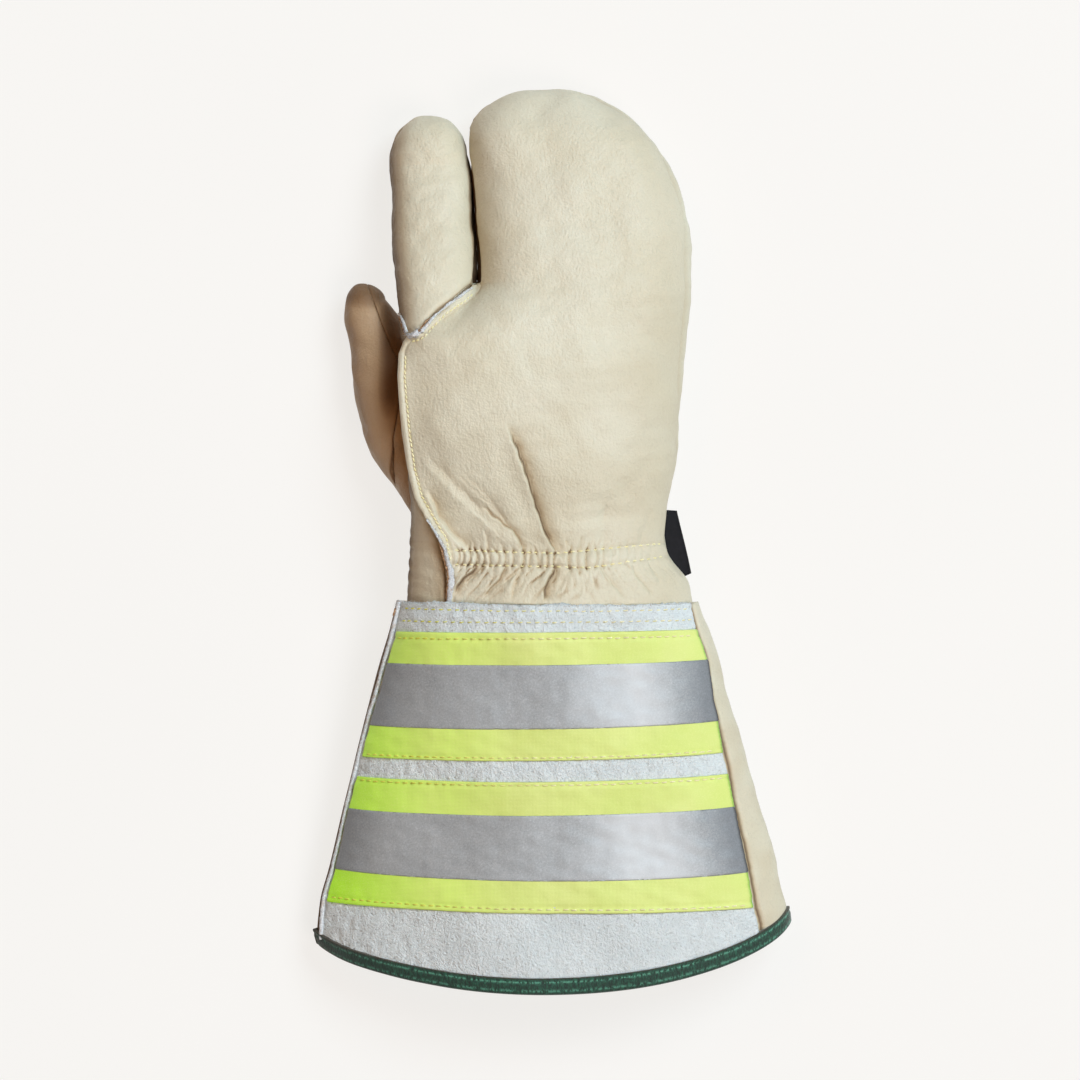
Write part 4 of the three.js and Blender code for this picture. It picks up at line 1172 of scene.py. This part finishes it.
def inside_back(x, y, z, off, hand, first):
    """How far each point lies inside the hand's back, and inside it or the finger's, where the palm is cut
    away."""
    middle = (x - hand["left"]) / np.maximum(hand["right"] - hand["left"], 1)
    over_hand = z - mix(hand["leftZ"], hand["rightZ"], np.clip(middle, 0, 1)) - 1
    seam = hand["right"] - line_at(POCKET_SEAM, y)
    finger = finger_at(np.maximum(y, FINGER[0][0]))
    over_finger = z - (finger["leftZ"] + finger["rightZ"]) / 2 - 1
    depth_hand = np.minimum.reduce([x - first, seam - x, over_hand])
    depth_finger = np.minimum.reduce([y - finger_base(x), -4 * off, over_finger])
    return depth_hand, np.maximum(depth_hand, depth_finger)


def raise_to_lip(points, hand, first):
    """Draws the palm's left side up to the lip that the back has there, and a little under it."""
    x, y, z = points.T.copy()
    seam_height = height_over(hand, np.maximum(first, hand["left"] + 0.4))
    risen = ease(hand["leftZ"] - 6, seam_height, z) * np.exp(-np.maximum(x - first, 0) / LIP_REACH)
    lift = mix(0.45, 0.93, ease(-5, 20, y)) * seam_lift(y) * risen * ease(90, 80, y)
    points[:, 2] += np.where(x < first + 16, lift, 0)
    tucked = ease(8, 26, points[:, 2]) * ease(2.5, 0, np.abs(x - first)) * ease(-4, 6, y) * ease(80, 74, y)
    points[:, 0] += 1.7 * tucked


def palm():
    """The palm, which goes on as the front of the pocket and of the finger and comes up round the sides."""
    points, quads, normal = palm_union()
    x, y, z = points.T
    off = x - line_at(CREVICE, y)
    hand = hand_at(y)
    first = np.where(y < SEAM_END[1], line_at(LEFT_SEAM, y), hand["left"])
    depth_hand, depth = inside_back(x, y, z, off, hand, first)
    raise_to_lip(points, hand, first)
    relief = -1.2 * ease(-2.0, 0.3, depth) - 2.5 * ease(0.3, 3.0, depth)
    relief += 0.35 * waves(points[:, :2], 34, 12) + 0.12 * waves(points[:, :2], 10, 13)
    relief += palm_folds(points)
    relief *= 1 - ease(4.5, 2.5, np.abs(off)) * ease(102, 106, y) * ease(0.5, -0.5, depth)
    points = points + normal * relief[:, None]
    close_slit(points, off, y)
    in_slit = ease(3.2, 1.4, np.abs(x - line_at(CREVICE, y))) * ease(98, 102, y)
    wrap = np.exp(np.minimum(depth_hand, 0) / 5) * ease(18, 2, y) * ease(10, 25, z) * ease(0, -10, x)
    # Painted shade where its edge goes under the back's, on flanks turned to the left, beside the wrist below
    # the standing lip, and in the slit.
    painted_shade = np.maximum.reduce([
        bell(depth, 1.2) * mix(0.25, 0.8, ease(20, -30, points[:, 0])),
        painted_left_shade(normal),
        0.7 * wrap,
        in_slit * ease(8, 14, z) * ease(160, 146, y),
    ])
    cut = np.maximum(depth - PALM_UNDER, PALM_ENDS - y)
    values, faces = trimmed(np.column_stack([points, normal, painted_shade]), quads, cut)
    return sheet_of("palm_leather", values[:, :3], values[:, 3:6], faces, values[:, 6], CREAM, "palm")


def trimmed(values, faces, cut):
    """Faces without the part where cut is above 0, and the values of their points, the new edge's too."""
    added = []
    made = {}

    def crossing(a, b):
        a, b = min(a, b), max(a, b)
        if (a, b) not in made:
            made[a, b] = len(values) + len(added)
            added.append(mix(values[a], values[b], cut[a] / (cut[a] - cut[b])))
        return made[a, b]

    kept = []
    for face in faces:
        gone = [cut[i] > 0 for i in face]
        if not any(gone):
            kept.append(face)
        elif not all(gone):
            part = []
            for a, b in zip(face, face[1:] + face[:1]):
                if cut[a] <= 0:
                    part.append(a)
                if (cut[a] > 0) != (cut[b] > 0):
                    part.append(crossing(a, b))
            kept.append(part)
    return np.vstack([values, added]), kept


# Creases across the palm: their two ends, depth and width
PALM_CREASES = (
    ((-48, 44), (26, 66), 1.2, 4.5), ((-30, 84), (50, 80), 1.0, 4.0), ((-50, 10), (-8, 60), 1.2, 5.0),
    ((-22, 116), (50, 112), 0.8, 4.0), ((-62, 124), (-36, 122), 0.7, 2.6), ((-50, -6), (44, -4), 1.4, 3.2),
)


def palm_folds(points):
    """Creases across the palm and the wrinkles beside the wrist's gathers, as a height."""
    x, y, z = points.T
    under = ease(22, 14, z)
    height = np.zeros(len(points))
    for start, end, depth, width in PALM_CREASES:
        signed, along = beside(points[:, :2], (start, end))
        crease = bell(signed + 0.8 * waves(points[:, :2], 16, 31), width)
        height -= depth * crease * ease(0, 0.15, along) * ease(1, 0.85, along)
    side = ease(14, 24, z) * bell(y + 9, 14) * ease(-44, -50, x)
    ripple = y + 0.25 * z + 1.2 * waves(points[:, 1:], 14, 33)
    creased = np.abs(np.sin(np.pi * ripple / 5.2)) ** 0.7 - 0.7
    return height * under + 0.8 * side * creased


def sheet_of(name, points, normal, quads, painted_shade, finish, node):
    """A closed sheet from some faces of a mesh, with its inner side at a leather's thickness."""
    used = sorted({i for face in quads for i in face})
    renamed = {old: new for new, old in enumerate(used)}
    top = points[used]
    under = top - normal[used] * LEATHER
    faces = [[renamed[i] for i in face] for face in quads]
    edges = {}
    for face in faces:
        for a, b in zip(face, face[1:] + face[:1]):
            if (b, a) in edges:
                del edges[b, a]
            else:
                edges[a, b] = True
    count = len(used)
    closing = [[b, a, a + count, b + count] for a, b in edges]
    inner = [[i + count for i in reversed(face)] for face in faces]
    vertices, faces = np.vstack([top, under]), faces + inner + closing
    return piece(name, finish, vertices, faces, [node], {"painted_shade": np.tile(painted_shade[used], 2)})


# The cuff's pieces

CUFF_LINES = np.array([row[0] for row in CUFF])
CUFF_ENDS = 9.6  # the row inside the braid at which the leather ends
FIRST_TURN = 0.16  # where the split leather starts, beside the left seam
UNDER_SPLIT = 0.06  # the turn that the grain leather reaches under the split leather
PAST_SEAM = 0.15  # and the one that it goes on past the left seam
LIME_ABOVE, LIME_THICK = 0.85, 0.6
SILVER_ABOVE, SILVER_THICK = 1.25, 0.3


def cuff_steps(first, last, step):
    """Row numbers between two of the cuff's rows, evenly spread over the cuff's length, from the hem up."""
    start, end = np.interp([last, first], range(len(CUFF)), CUFF_LINES)
    count = int(abs(end - start) / step) // 2 * 2 + 3
    at = np.linspace(start, end, count)
    return np.interp(-at, -CUFF_LINES, range(len(CUFF)))


def split_turn(section):
    """The turn at which each of the cuff's sections meets the split leather's edge."""
    turn = np.linspace(math.pi * 0.55, math.pi - 0.02, 300)[None, :]
    points = place(tall(section), turn)
    beyond = points[..., 0] > line_at(SPLIT_EDGE, points[..., 1])
    found = np.where(beyond.any(axis=1), beyond.argmax(axis=1), turn.shape[1] - 1)
    return turn[0, found]


def cuff_relief(plan):
    """Low waves over the cuff's top, which its leather and its tapes share."""
    return 0.5 * waves(plan, 60, 51) + 0.08 * waves(plan, 21, 52)


def on_cuff(row, turn, above=0.0):
    """A grid on the cuff's top and its normals, that far above the split leather."""
    base = place(tall(cuff_at(row)), turn)
    normal = normals_of(base)
    top = ease(0.05, 0.4, np.sin(turn))
    return base + normal * (above + cuff_relief(base[..., :2]) * top)[..., None], normal


def cuff_back():
    """The back panel of split leather, with its ragged top edge."""
    row = cuff_steps(0, CUFF_ENDS, 1.0)
    section = cuff_at(row)
    last = split_turn(section)
    grid, normal = on_cuff(row, turns_between(np.full_like(last, FIRST_TURN), last, 171))
    left, right = from_sides(grid)
    top = distance_to(grid, grid[-1])
    relief = roll(left, 0.8) + roll(right, 1.0) + roll(top, 0.7)
    for inset in TOP_CHANNELS:
        relief -= 0.4 * bell(top - inset, 0.7)
    plan, across = grid[..., :2], grid[..., :2] * [1, 0]
    relief += 0.16 * waves(plan, 5.5, 53) + 0.35 * (1 - ease(0, 2.5, top)) * waves(across, 5, 54)
    outer = grid + normal * relief[..., None]
    ragged = 0.22 * waves(across, 2.2, 55) + 0.25 * waves(across, 14, 58)
    outer[..., 1] += (1 - ease(0, 1.0, top)) * ragged
    vertices, faces = thick_sheet(outer, grid - normal * SPLIT)
    return piece("cuff_split_leather", SUEDE, vertices, faces, ["cuff_back"])


def cuff_palm():
    """The grain leather from under the split leather's right edge, round beneath, to the left seam."""
    row = cuff_steps(0, CUFF_ENDS, 1.3)
    section = cuff_at(row)
    first = split_turn(section)
    turn = turns_between(first - UNDER_SPLIT, np.full_like(first, ROUND + PAST_SEAM), 221)
    grid, normal = on_cuff(row, turn)
    seam = 5  # the column where it comes out from under the split leather
    off = distance_to(grid, grid[:, seam])
    under = turn < turn[:, [seam]]
    relief = np.where(under, -1.3, -1.3 * (1 - ease(0, 2.2, off)) ** 1.5)
    # The left flank has no waves, which keeps the seam's outline straight.
    waving = ease(ROUND - 0.2, ROUND - 0.9, turn)
    relief += (0.3 * waves(grid[..., :2], 26, 56) + 0.1 * waves(grid[..., :2], 9, 57)) * waving
    outer = grid + normal * relief[..., None]
    # Painted shade where it comes out from under the split leather and at its left end by the seam, and a
    # slight painted shade all over, uneven at random.
    painted_shade = np.maximum.reduce([
        0.9 * bell(off, 0.9),
        0.95 * ease(ROUND - 0.3, ROUND + 0.02, turn),
        0.11 + 0.04 * waves(grid[..., :2], 14, 58),
    ])
    inner = grid - normal * (SPLIT + 0.6)
    return leather_sheet("cuff_grain_leather", CREAM, outer, inner, "cuff_palm", painted_shade)


def tape(name, node, finish, first, last, above, thick, channels=()):
    """A tape across the cuff between two of its rows."""
    row = cuff_steps(first, last, 0.8)
    section = cuff_at(row)
    start = turn_of(section, section["left"] + TAPE_INSET)
    grid, normal = on_cuff(row, turns_between(start, split_turn(section) - 0.012, 191), above)
    edge = np.minimum(distance_to(grid, grid[0]), distance_to(grid, grid[-1]))
    from_left, from_right = from_sides(grid)
    ends = np.minimum(from_left, from_right)
    relief = roll(edge, 0.45) + 0.5 * roll(ends, 0.45) + 0.07 * waves(grid[..., :2], 7, 61)
    for side, inset in channels:
        off = distance_to(grid, grid[side]) - inset
        pull = 0.75 + 0.25 * np.sin(ROUND * grid[..., 0] / STITCH)
        relief -= 0.4 * pull * bell(off, 0.8)
    outer = grid + normal * relief[..., None]
    vertices, faces = thick_sheet(outer, grid - normal * thick)
    # The end mark is painted shade at the tape's cut right end.
    marks = {"end": bell(from_right, 0.9), "from_left": from_left, "from_right": from_right}
    return piece(name, finish, vertices, faces, [node], marks)


BRAID_WIDTH = 5.8  # how far the braid reaches over the hem on either side
BRAID_ROWS = np.array([10.0, 9.35, 8.7])  # the cuff's rows that give the hem and the way in from it
BRAID_STITCHES = BRAID_WIDTH - 1.6  # where its seam lies, from the hem
BRAID_STEPS = 720  # points round the hem
BRAID_RIB = 1.15  # from one rib to the next


def braid_profile():
    """The braid's section: how far each point stands out from the hem's line, and how far in it lies."""
    width, round_off = BRAID_WIDTH, 1.1
    profile = [(0.75, width + 0.1), (1.25, width), (1.45, width - 0.5)]
    profile += [(1.5, g) for g in np.linspace(width - 1.1, 0.6, 9)]
    profile += [
        (-0.3 + 1.8 * math.cos(a), -round_off * math.sin(a)) for a in np.linspace(0.1, math.pi - 0.1, 9)
    ]
    profile += [(-2.1, g) for g in np.linspace(0.6, width - 1.1, 9)]
    profile += [(-2.05, width - 0.5), (-1.8, width), (-1.4, width + 0.1)]
    return np.array(profile)


def binding():
    """The cloth braid folded over the hem."""
    steps = BRAID_STEPS
    turn = np.linspace(0, ROUND, steps, endpoint=False)[None, :]
    grid, _ = on_cuff(BRAID_ROWS, np.broadcast_to(turn, (3, steps)))
    hem = grid[0]
    inward = unit(grid[1] - hem)
    outward = np.cross(inward, unit(np.roll(hem, -1, axis=0) - np.roll(hem, 1, axis=0)))
    outward *= np.sign(np.einsum("ij,ij->i", outward, hem - hem.mean(axis=0)))[:, None]
    profile = braid_profile()
    count = len(profile)
    lengths = lengths_of(hem)
    rib = 0.5 + 0.5 * np.sin(ROUND * lengths / BRAID_RIB)
    swell = 0.05 * (rib - 0.5)[:, None] + 0.1 * np.sin(lengths / 9)[:, None]
    out = np.where(profile[:, 0] > -0.3, 1, -1)[None, :]
    channel = 0.35 * bell(profile[None, :, 1] - BRAID_STITCHES, 0.6)
    across = profile[None, :, 0] + swell * out - channel * out
    points = hem[:, None] + outward[:, None] * across[..., None] + inward[:, None] * profile[None, :, 1, None]
    index = np.arange(steps * count).reshape(steps, count)
    ahead = np.roll(index, -1, axis=0)
    faces = np.stack([index[:, :-1], ahead[:, :-1], ahead[:, 1:], index[:, 1:]], -1).reshape(-1, 4).tolist()
    faces += np.stack([index[:, -1], ahead[:, -1], ahead[:, 0], index[:, 0]], -1).tolist()
    rim = np.zeros(count)
    rim[:2] = 1.0
    on_top = profile[:, 0] > 0
    row = (bell(profile[:, 1] - BRAID_STITCHES, 0.4) + 0.7 * bell(profile[:, 1] - 0.7, 0.4)) * on_top
    marks = {"rib": np.repeat(rib, count), "rim": np.tile(rim, steps), "row": np.tile(row, steps)}
    return piece("hem_braid", GREEN, points.reshape(-1, 3), faces, ["hem_binding"], marks)


LABEL_SEWN = ((44.0, 12.4), (43.4, 5.0), (44.4, -3.0), (47.6, -10.0), (53.0, -15.6))
LABEL_FREE = ((51.2, 12.0), (52.7, 5.6), (54.4, -1.2), (56.0, -8.0), (57.2, -13.8))
LABEL_HEIGHT = 24.2
LABEL_FOLD = 0.86  # the share of its width at which its free edge starts to round off


def label():
    """The folded label that is caught in the side seam, left blank."""
    along = np.linspace(0, 1, 41)
    ends = [
        np.stack([np.interp(along, np.linspace(0, 1, len(line)), values) for values in zip(*line)], -1)
        for line in (LABEL_SEWN, LABEL_FREE)
    ]
    share = np.linspace(0, 1, 17)
    plan = mix(ends[0][:, None], ends[1][:, None], share[None, :, None])
    sag = LABEL_HEIGHT - 2.6 * share[None, :] ** 1.5 + 0.5 * np.sin(3.0 * along)[:, None] * share[None, :]
    half = 0.5 * quarter((share - LABEL_FOLD) / (1 - LABEL_FOLD))[None, :] + 0.02
    top = np.concatenate([plan, (sag + half)[..., None]], -1)
    under = np.concatenate([plan, (sag - half)[..., None]], -1)
    vertices, faces = thick_sheet(top[::-1], under[::-1])
    return piece("blank_label", BLACK, vertices, faces, ["side_label"])


# Thread, raw edges and loose fibres

STITCH = 3.5  # from one stitch to the next
UNEVEN = 0.1  # how far the stitches stray
FIBRE = 0.06  # a loose fibre's radius
TAN_EDGE = 1.0  # the tone of a cut edge's grain side, beside the pale fibres at 0


def sew(parts, tree, line, pitch, share, radius, slant=0.0):
    """A row of stitches along a plan line, each one dipping into the surface at its ends. share is how much
    of the pitch a stitch takes up, and slant how far it runs across the line."""
    places, normals = drape(tree, resample(line, 0.4))
    if len(places) < 4:
        return
    joined = resample(np.hstack([places, normals]), 0.05)
    lengths = lengths_of(joined[:, :3])
    for middle in np.arange(pitch / 2, lengths[-1] - pitch / 2, pitch):
        at = middle + np.linspace(-0.5, 0.5, 7) * pitch * share + RNG.normal(0, UNEVEN * 0.5)
        points = np.stack([np.interp(at, lengths, joined[:, k]) for k in range(6)], -1)
        rise = np.array([-0.5, 0.02, 0.26, 0.32, 0.26, 0.02, -0.5]) * radius / 0.3
        path = points[:, :3] + points[:, 3:] * rise[:, None]
        ahead = path[-1] - path[0]
        aside = np.cross(points[3, 3:], ahead)
        aside /= max(np.linalg.norm(aside), 1e-6)
        path += aside * (np.linspace(-0.5, 0.5, 7) * slant + RNG.normal(0, UNEVEN * 0.6))[:, None]
        thick = radius * np.array([0.7, 0.95, 1.05, 1.1, 1.05, 0.95, 0.7])
        vertices, faces = tube(path, thick, 6, points[:, 3:])
        parts.add(vertices, faces, RNG.uniform(0, 1))


def fray(parts, places, outward, count, length, spread):
    """Loose fibres that stand out of an edge."""
    for _ in range(count):
        k = RNG.integers(0, len(places))
        ahead = np.asarray(outward[k % len(outward)], float) + RNG.normal(0, spread, 3)
        ahead /= max(np.linalg.norm(ahead), 1e-6)
        size = length * RNG.uniform(0.4, 1.3)
        bend = RNG.normal(0, 0.45, 3)
        t = np.linspace(0, 1, 4)[:, None]
        path = places[k] + RNG.normal(0, 0.15, 3) - ahead * 0.3 + ahead * t * size + bend * t * t * size * 0.5
        vertices, faces = tube(path, FIBRE * np.array([1, 0.9, 0.7, 0.35]), 3)
        parts.add(vertices, faces, RNG.uniform(0, 1))


def raw_strip(parts, path, normals, width, thick, rough, seed, tone=0.0):
    """A cut edge of leather along points: a low rough ribbon, width across and thick up."""
    places = resample(np.hstack([path, normals]), 0.45)
    centre, up = places[:, :3], places[:, 3:]
    aside = np.cross(unit(np.gradient(centre, axis=0)), up)
    rng = np.random.default_rng(seed)
    count, sides = len(centre), 12
    width = np.interp(np.linspace(0, 1, count), np.linspace(0, 1, len(width)), width)
    ring = []
    for turn in np.arange(sides) * ROUND / sides:
        box = 1 / max(abs(math.cos(turn)), abs(math.sin(turn))) ** 0.55
        out = box * (1 + rough * np.convolve(rng.normal(0, 1, count + 2), [0.3, 0.4, 0.3], "valid"))
        across, upward = 0.5 * width * out * math.cos(turn), 0.5 * thick * out * math.sin(turn)
        ring.append(centre + aside * across[:, None] + up * upward[:, None])
    parts.add(np.stack(ring, 1).reshape(-1, 3), tube_faces(count, sides, flipped=True), tone)
    return centre, up, aside


def draped_strip(parts, tree, line, lift, width, thick, rough, seed, tone=0.0):
    """A cut edge laid on a piece along a plan line, and lifted a little off it."""
    places, normals = drape(tree, line)
    return raw_strip(parts, places + normals * lift, normals, width, thick, rough, seed, tone)


def moved_aside(line, distance):
    """A plan line moved to the right of its direction."""
    line = resample(line, 0.8)
    ahead = unit(np.gradient(line, axis=0))
    return line + np.stack([ahead[:, 1], -ahead[:, 0]], -1) * distance


def cuff_line(row, inset=4.0):
    """A plan line along one of the cuff's rows, between its left edge and the split leather's edge."""
    section = cuff_at(np.array([row]))
    start = turn_of(section, section["left"] + inset)
    turn = turns_between(start, split_turn(section) - 0.03, 200)
    return place(tall(section), turn)[0, :, :2]


def row_at(y):
    """The cuff's row number at a distance along its left edge."""
    return float(np.interp(-y, -CUFF_LINES, range(len(CUFF))))


def sew_hand(back):
    """The two rows across the gathered wrist, and those beside the left seam and at the finger's base."""
    tree, thread = surface_tree(back), Parts()
    x = np.linspace(-40.5, 46.5, 120)
    for y in gather_rows(x):
        sew(thread, tree, np.stack([x, y], -1), STITCH, 0.55, 0.27)
    sew(thread, tree, moved_aside(BACK_SEAM[3:], 2.3), 2.0, 0.9, 0.28, 0.5)
    sew(thread, tree, moved_aside(FINGER_SEAM[1:] + ((-33.0, 103.6),), 3.2), 2.2, 0.7, 0.27, 0.3)
    thread.make("hand_stitches", "grain_leather", THREAD)


def sew_cuff(suede, limes):
    """The rows along the cuff's top, and one beside each edge of the tapes."""
    tree, thread = surface_tree(suede), Parts()
    for y in TOP_ROWS:
        sew(thread, tree, cuff_line(row_at(y)), STITCH, 0.6, 0.24, 0.2)
    for name, rows in TAPE_ROWS.items():
        tree = surface_tree(limes[name])
        for y in rows:
            sew(thread, tree, cuff_line(row_at(y)), STITCH, 0.75, 0.26, 0.1)
    thread.make("cuff_stitches", "lime_tape", CUFF_THREAD)


def finger_edge(hair, back, finger):
    """The cut edges along the seam at the finger's base, with the knot at its left end."""
    hand_tree, finger_tree = surface_tree(back), surface_tree(finger)
    base = Parts()
    seam = FINGER_SEAM[1:] + ((-33.6, 103.2),)
    pale = moved_aside(seam, 0.9)
    widths = [1.5, 1.6, 1.2, 0.6, 0.5, 0.9, 0.9, 0.5]
    centre, up, aside = draped_strip(base, hand_tree, pale, 0.3, widths, 1.2, 0.3, 3)
    fray(hair, centre + up * 0.4, up - aside * 0.5, 170, 0.8, 0.6)
    tan = moved_aside(seam, 0.1)
    draped_strip(base, hand_tree, tan, 0.35, [0.5, 0.6, 0.5, 0.6, 0.7, 0.4], 1.0, 0.35, 4, TAN_EDGE)
    short = ((-62.6, 93.0), (-61.2, 90.5), (-60.0, 87.2), (-59.0, 84.5))
    pale, tan = resample(short, 0.6), resample(moved_aside(short, 0.8), 0.6)
    centre, up, _ = draped_strip(base, finger_tree, pale, 0.3, [0.6, 0.9, 1.2, 1.1], 1.2, 0.3, 5)
    fray(hair, centre + up * 0.4, up, 90, 0.8, 0.7)
    draped_strip(base, finger_tree, tan, 0.3, [0.4, 0.6, 0.5], 0.9, 0.35, 15, TAN_EDGE)
    knot = resample(((-59.4, 83.4), (-57.6, 82.6), (-55.6, 83.2), (-54.4, 84.6)), 0.5)
    centre, up, _ = draped_strip(base, hand_tree, knot, 0.5, [1.2, 2.0, 2.0, 1.4], 1.9, 0.35, 6)
    fray(hair, centre + up * 0.6, up, 130, 1.7, 0.9)
    base.make("finger_base_edge", "raw_edge", RAW, ["finger_seam_edge"])


def wrist_edge(hair, back):
    """The cut edge of the side seam beside the wrist."""
    side = Parts()
    line = (
        (-50.9, 8.4), (-49.7, 6.5), (-48.2, 4.2), (-45.9, 0.3), (-43.8, -3.8), (-42.4, -9.6), (-41.3, -12.9),
        (-41.2, -17.0), (-42.0, -24.0), (-42.0, -26.5),
    )
    widths = [0.4, 0.8, 1.1, 1.3, 1.5, 2.0, 2.6, 2.6, 2.2, 2.2]
    centre, up, aside = draped_strip(
        side, surface_tree(back), resample(line, 0.5), 0.1, widths, 1.5, 0.18, 7)
    fray(hair, centre + up * 0.3 - aside * 0.8, up - aside, 200, 1.0, 0.5)
    outer_side = centre + aside * 1.25 - up * 0.3
    raw_strip(side, outer_side[26:], up[26:], [0.4, 1.0, 0.9, 1.1, 0.8], 1.3, 0.4, 17, TAN_EDGE)
    side.make("side_edge", "raw_edge", RAW, ["side_seam_edge"])


def cuff_edge(hair, suede):
    """The cut edge in the cuff's left seam, folded over at the top, and the fibres of the cuff's top edge."""
    strip = Parts()
    row = cuff_steps(0, 9.3, 1.0)
    section = cuff_at(row)
    turn = turn_of(section, section["left"] + 1.95)
    grid, normal = on_cuff(row, turn[:, None] + np.array([[-0.01, 0, 0.01]]), 0.55)
    centre, up, _ = raw_strip(strip, grid[:, 1], normal[:, 1], [1.5], 1.7, 0.14, 8)
    fray(hair, centre + up * 0.4, up, 260, 0.9, 0.7)
    top = np.argmax(centre[:, 1])
    fold = ((-0.9, -3.2, 0), (-0.8, -1.4, 0.3), (0.0, -0.5, 0.5), (1.6, -0.6, 0.4), (3.4, -1.2, 0))
    facing = np.repeat(up[top][None], len(fold), axis=0)
    folded = centre[top] + np.array(fold)
    curl, curl_up, _ = raw_strip(strip, folded, facing, [1.0, 1.9, 2.4, 2.2, 1.3], 1.6, 0.3, 18)
    tucked = centre[top] + np.array([(-1.3, -2.6, -0.1), (-1.9, -4.2, -0.2), (-2.5, -6.2, -0.3)])
    raw_strip(strip, tucked, facing[:3], [0.6, 1.1, 0.5], 1.0, 0.3, 19, TAN_EDGE)
    strip.make("cuff_seam_edge", "raw_edge", RAW, ["cuff_seam_strip"])
    places, _ = drape(surface_tree(suede), cuff_line(0.05, 1.5))
    fray(hair, places, np.array([[0, 0.8, 0.5]]), 420, 1.2, 0.45)
    fray(hair, curl + curl_up * 0.5, curl_up, 90, 1.2, 0.8)


# The whole mitt

def make_tapes():
    """The two lime tapes with their silver strips. Gives the lime ones, for their stitches."""
    limes = {}
    for name, (first, last, silver_first, silver_last) in TAPES.items():
        limes[name] = tape(
            f"{name}_lime_tape", f"tape_{name}_lime", LIME,
            first, last, LIME_ABOVE, LIME_THICK, TAPE_CHANNELS[name])
        tape(
            f"{name}_silver_tape", f"tape_{name}_silver", SILVER,
            silver_first, silver_last, SILVER_ABOVE, SILVER_THICK)
    return limes


def make_mitt():
    back = hand_back()
    finger = finger_back()
    thumb_half("thumb_outer_leather", "thumb_outer", lambda seam: -seam, lambda seam: seam, 71)
    thumb_half("thumb_inner_leather", "thumb_inner", lambda seam: seam, lambda seam: ROUND - seam, 75)
    palm()
    suede = cuff_back()
    cuff_palm()
    limes = make_tapes()
    binding()
    label()
    sew_hand(back)
    sew_cuff(suede, limes)
    hair = Parts()
    finger_edge(hair, back, finger)
    wrist_edge(hair, back)
    cuff_edge(hair, suede)
    hair.make("loose_fibres", "raw_edge", RAW)


make_mitt()


# Stage, light and camera

VIEW_WIDTH = 442.8  # of the photograph, at the mitt's height
VIEW_CENTRE = (-5.1, -0.2)
VIEW_HEIGHT = 30.0  # where that width is measured, above the floor
LENS = 200.0
SENSOR = 36.0
FLOOR_REACH = 6.0  # metres from the middle to the floor's sides
LAMP_SIZE = 1.9
LAMPS = (  # name, place, watts and tint
    ("key", (1.7, 1.7, 3.4), 147, (0.75, 0.905, 1.0)),
    ("fill", (1.6, -1.6, 3.6), 80, (1.0, 0.845, 0.785)),
    ("warm_fill", (-1.6, 1.6, 3.6), 34, (1.0, 0.5, 0.22)),
)
LIT_AT = Vector((0, 0, 0.03))
SURROUND = (1.0, 0.84, 0.66, 1)
SURROUND_STRENGTH = 0.03


def stage():
    reach = FLOOR_REACH
    mesh = bpy.data.meshes.new("floor")
    corners = [(-reach, -reach, 0), (reach, -reach, 0), (reach, reach, 0), (-reach, reach, 0)]
    mesh.from_pydata(corners, [], [(0, 1, 2, 3)])
    mesh.materials.append(pale_floor("pale_floor"))
    floor = link("floor", mesh)


def light():
    for name, place_at, watts, tint in LAMPS:
        lamp = bpy.data.lights.new(name, "AREA")
        lamp.size = LAMP_SIZE
        lamp.energy = watts
        lamp.color = tint
        made = link(name, lamp)
        made.location = place_at
        made.rotation_euler = (LIT_AT - Vector(place_at)).to_track_quat("-Z", "Y").to_euler()
    world = bpy.data.worlds.new("studio")
    world.use_nodes = True
    background = world.node_tree.nodes["Background"].inputs
    background["Color"].default_value = SURROUND
    background["Strength"].default_value = SURROUND_STRENGTH
    bpy.context.scene.world = world
    bpy.context.scene.view_settings.view_transform = "Standard"


def camera():
    lens = bpy.data.cameras.new("camera")
    lens.lens = LENS
    lens.sensor_width = SENSOR
    lens.clip_end = 50
    away = VIEW_WIDTH * LENS / SENSOR
    made = link("camera", lens)
    made.location = (VIEW_CENTRE[0] * MM, VIEW_CENTRE[1] * MM, (VIEW_HEIGHT + away) * MM)
    bpy.context.scene.camera = made


stage()
light()
camera()
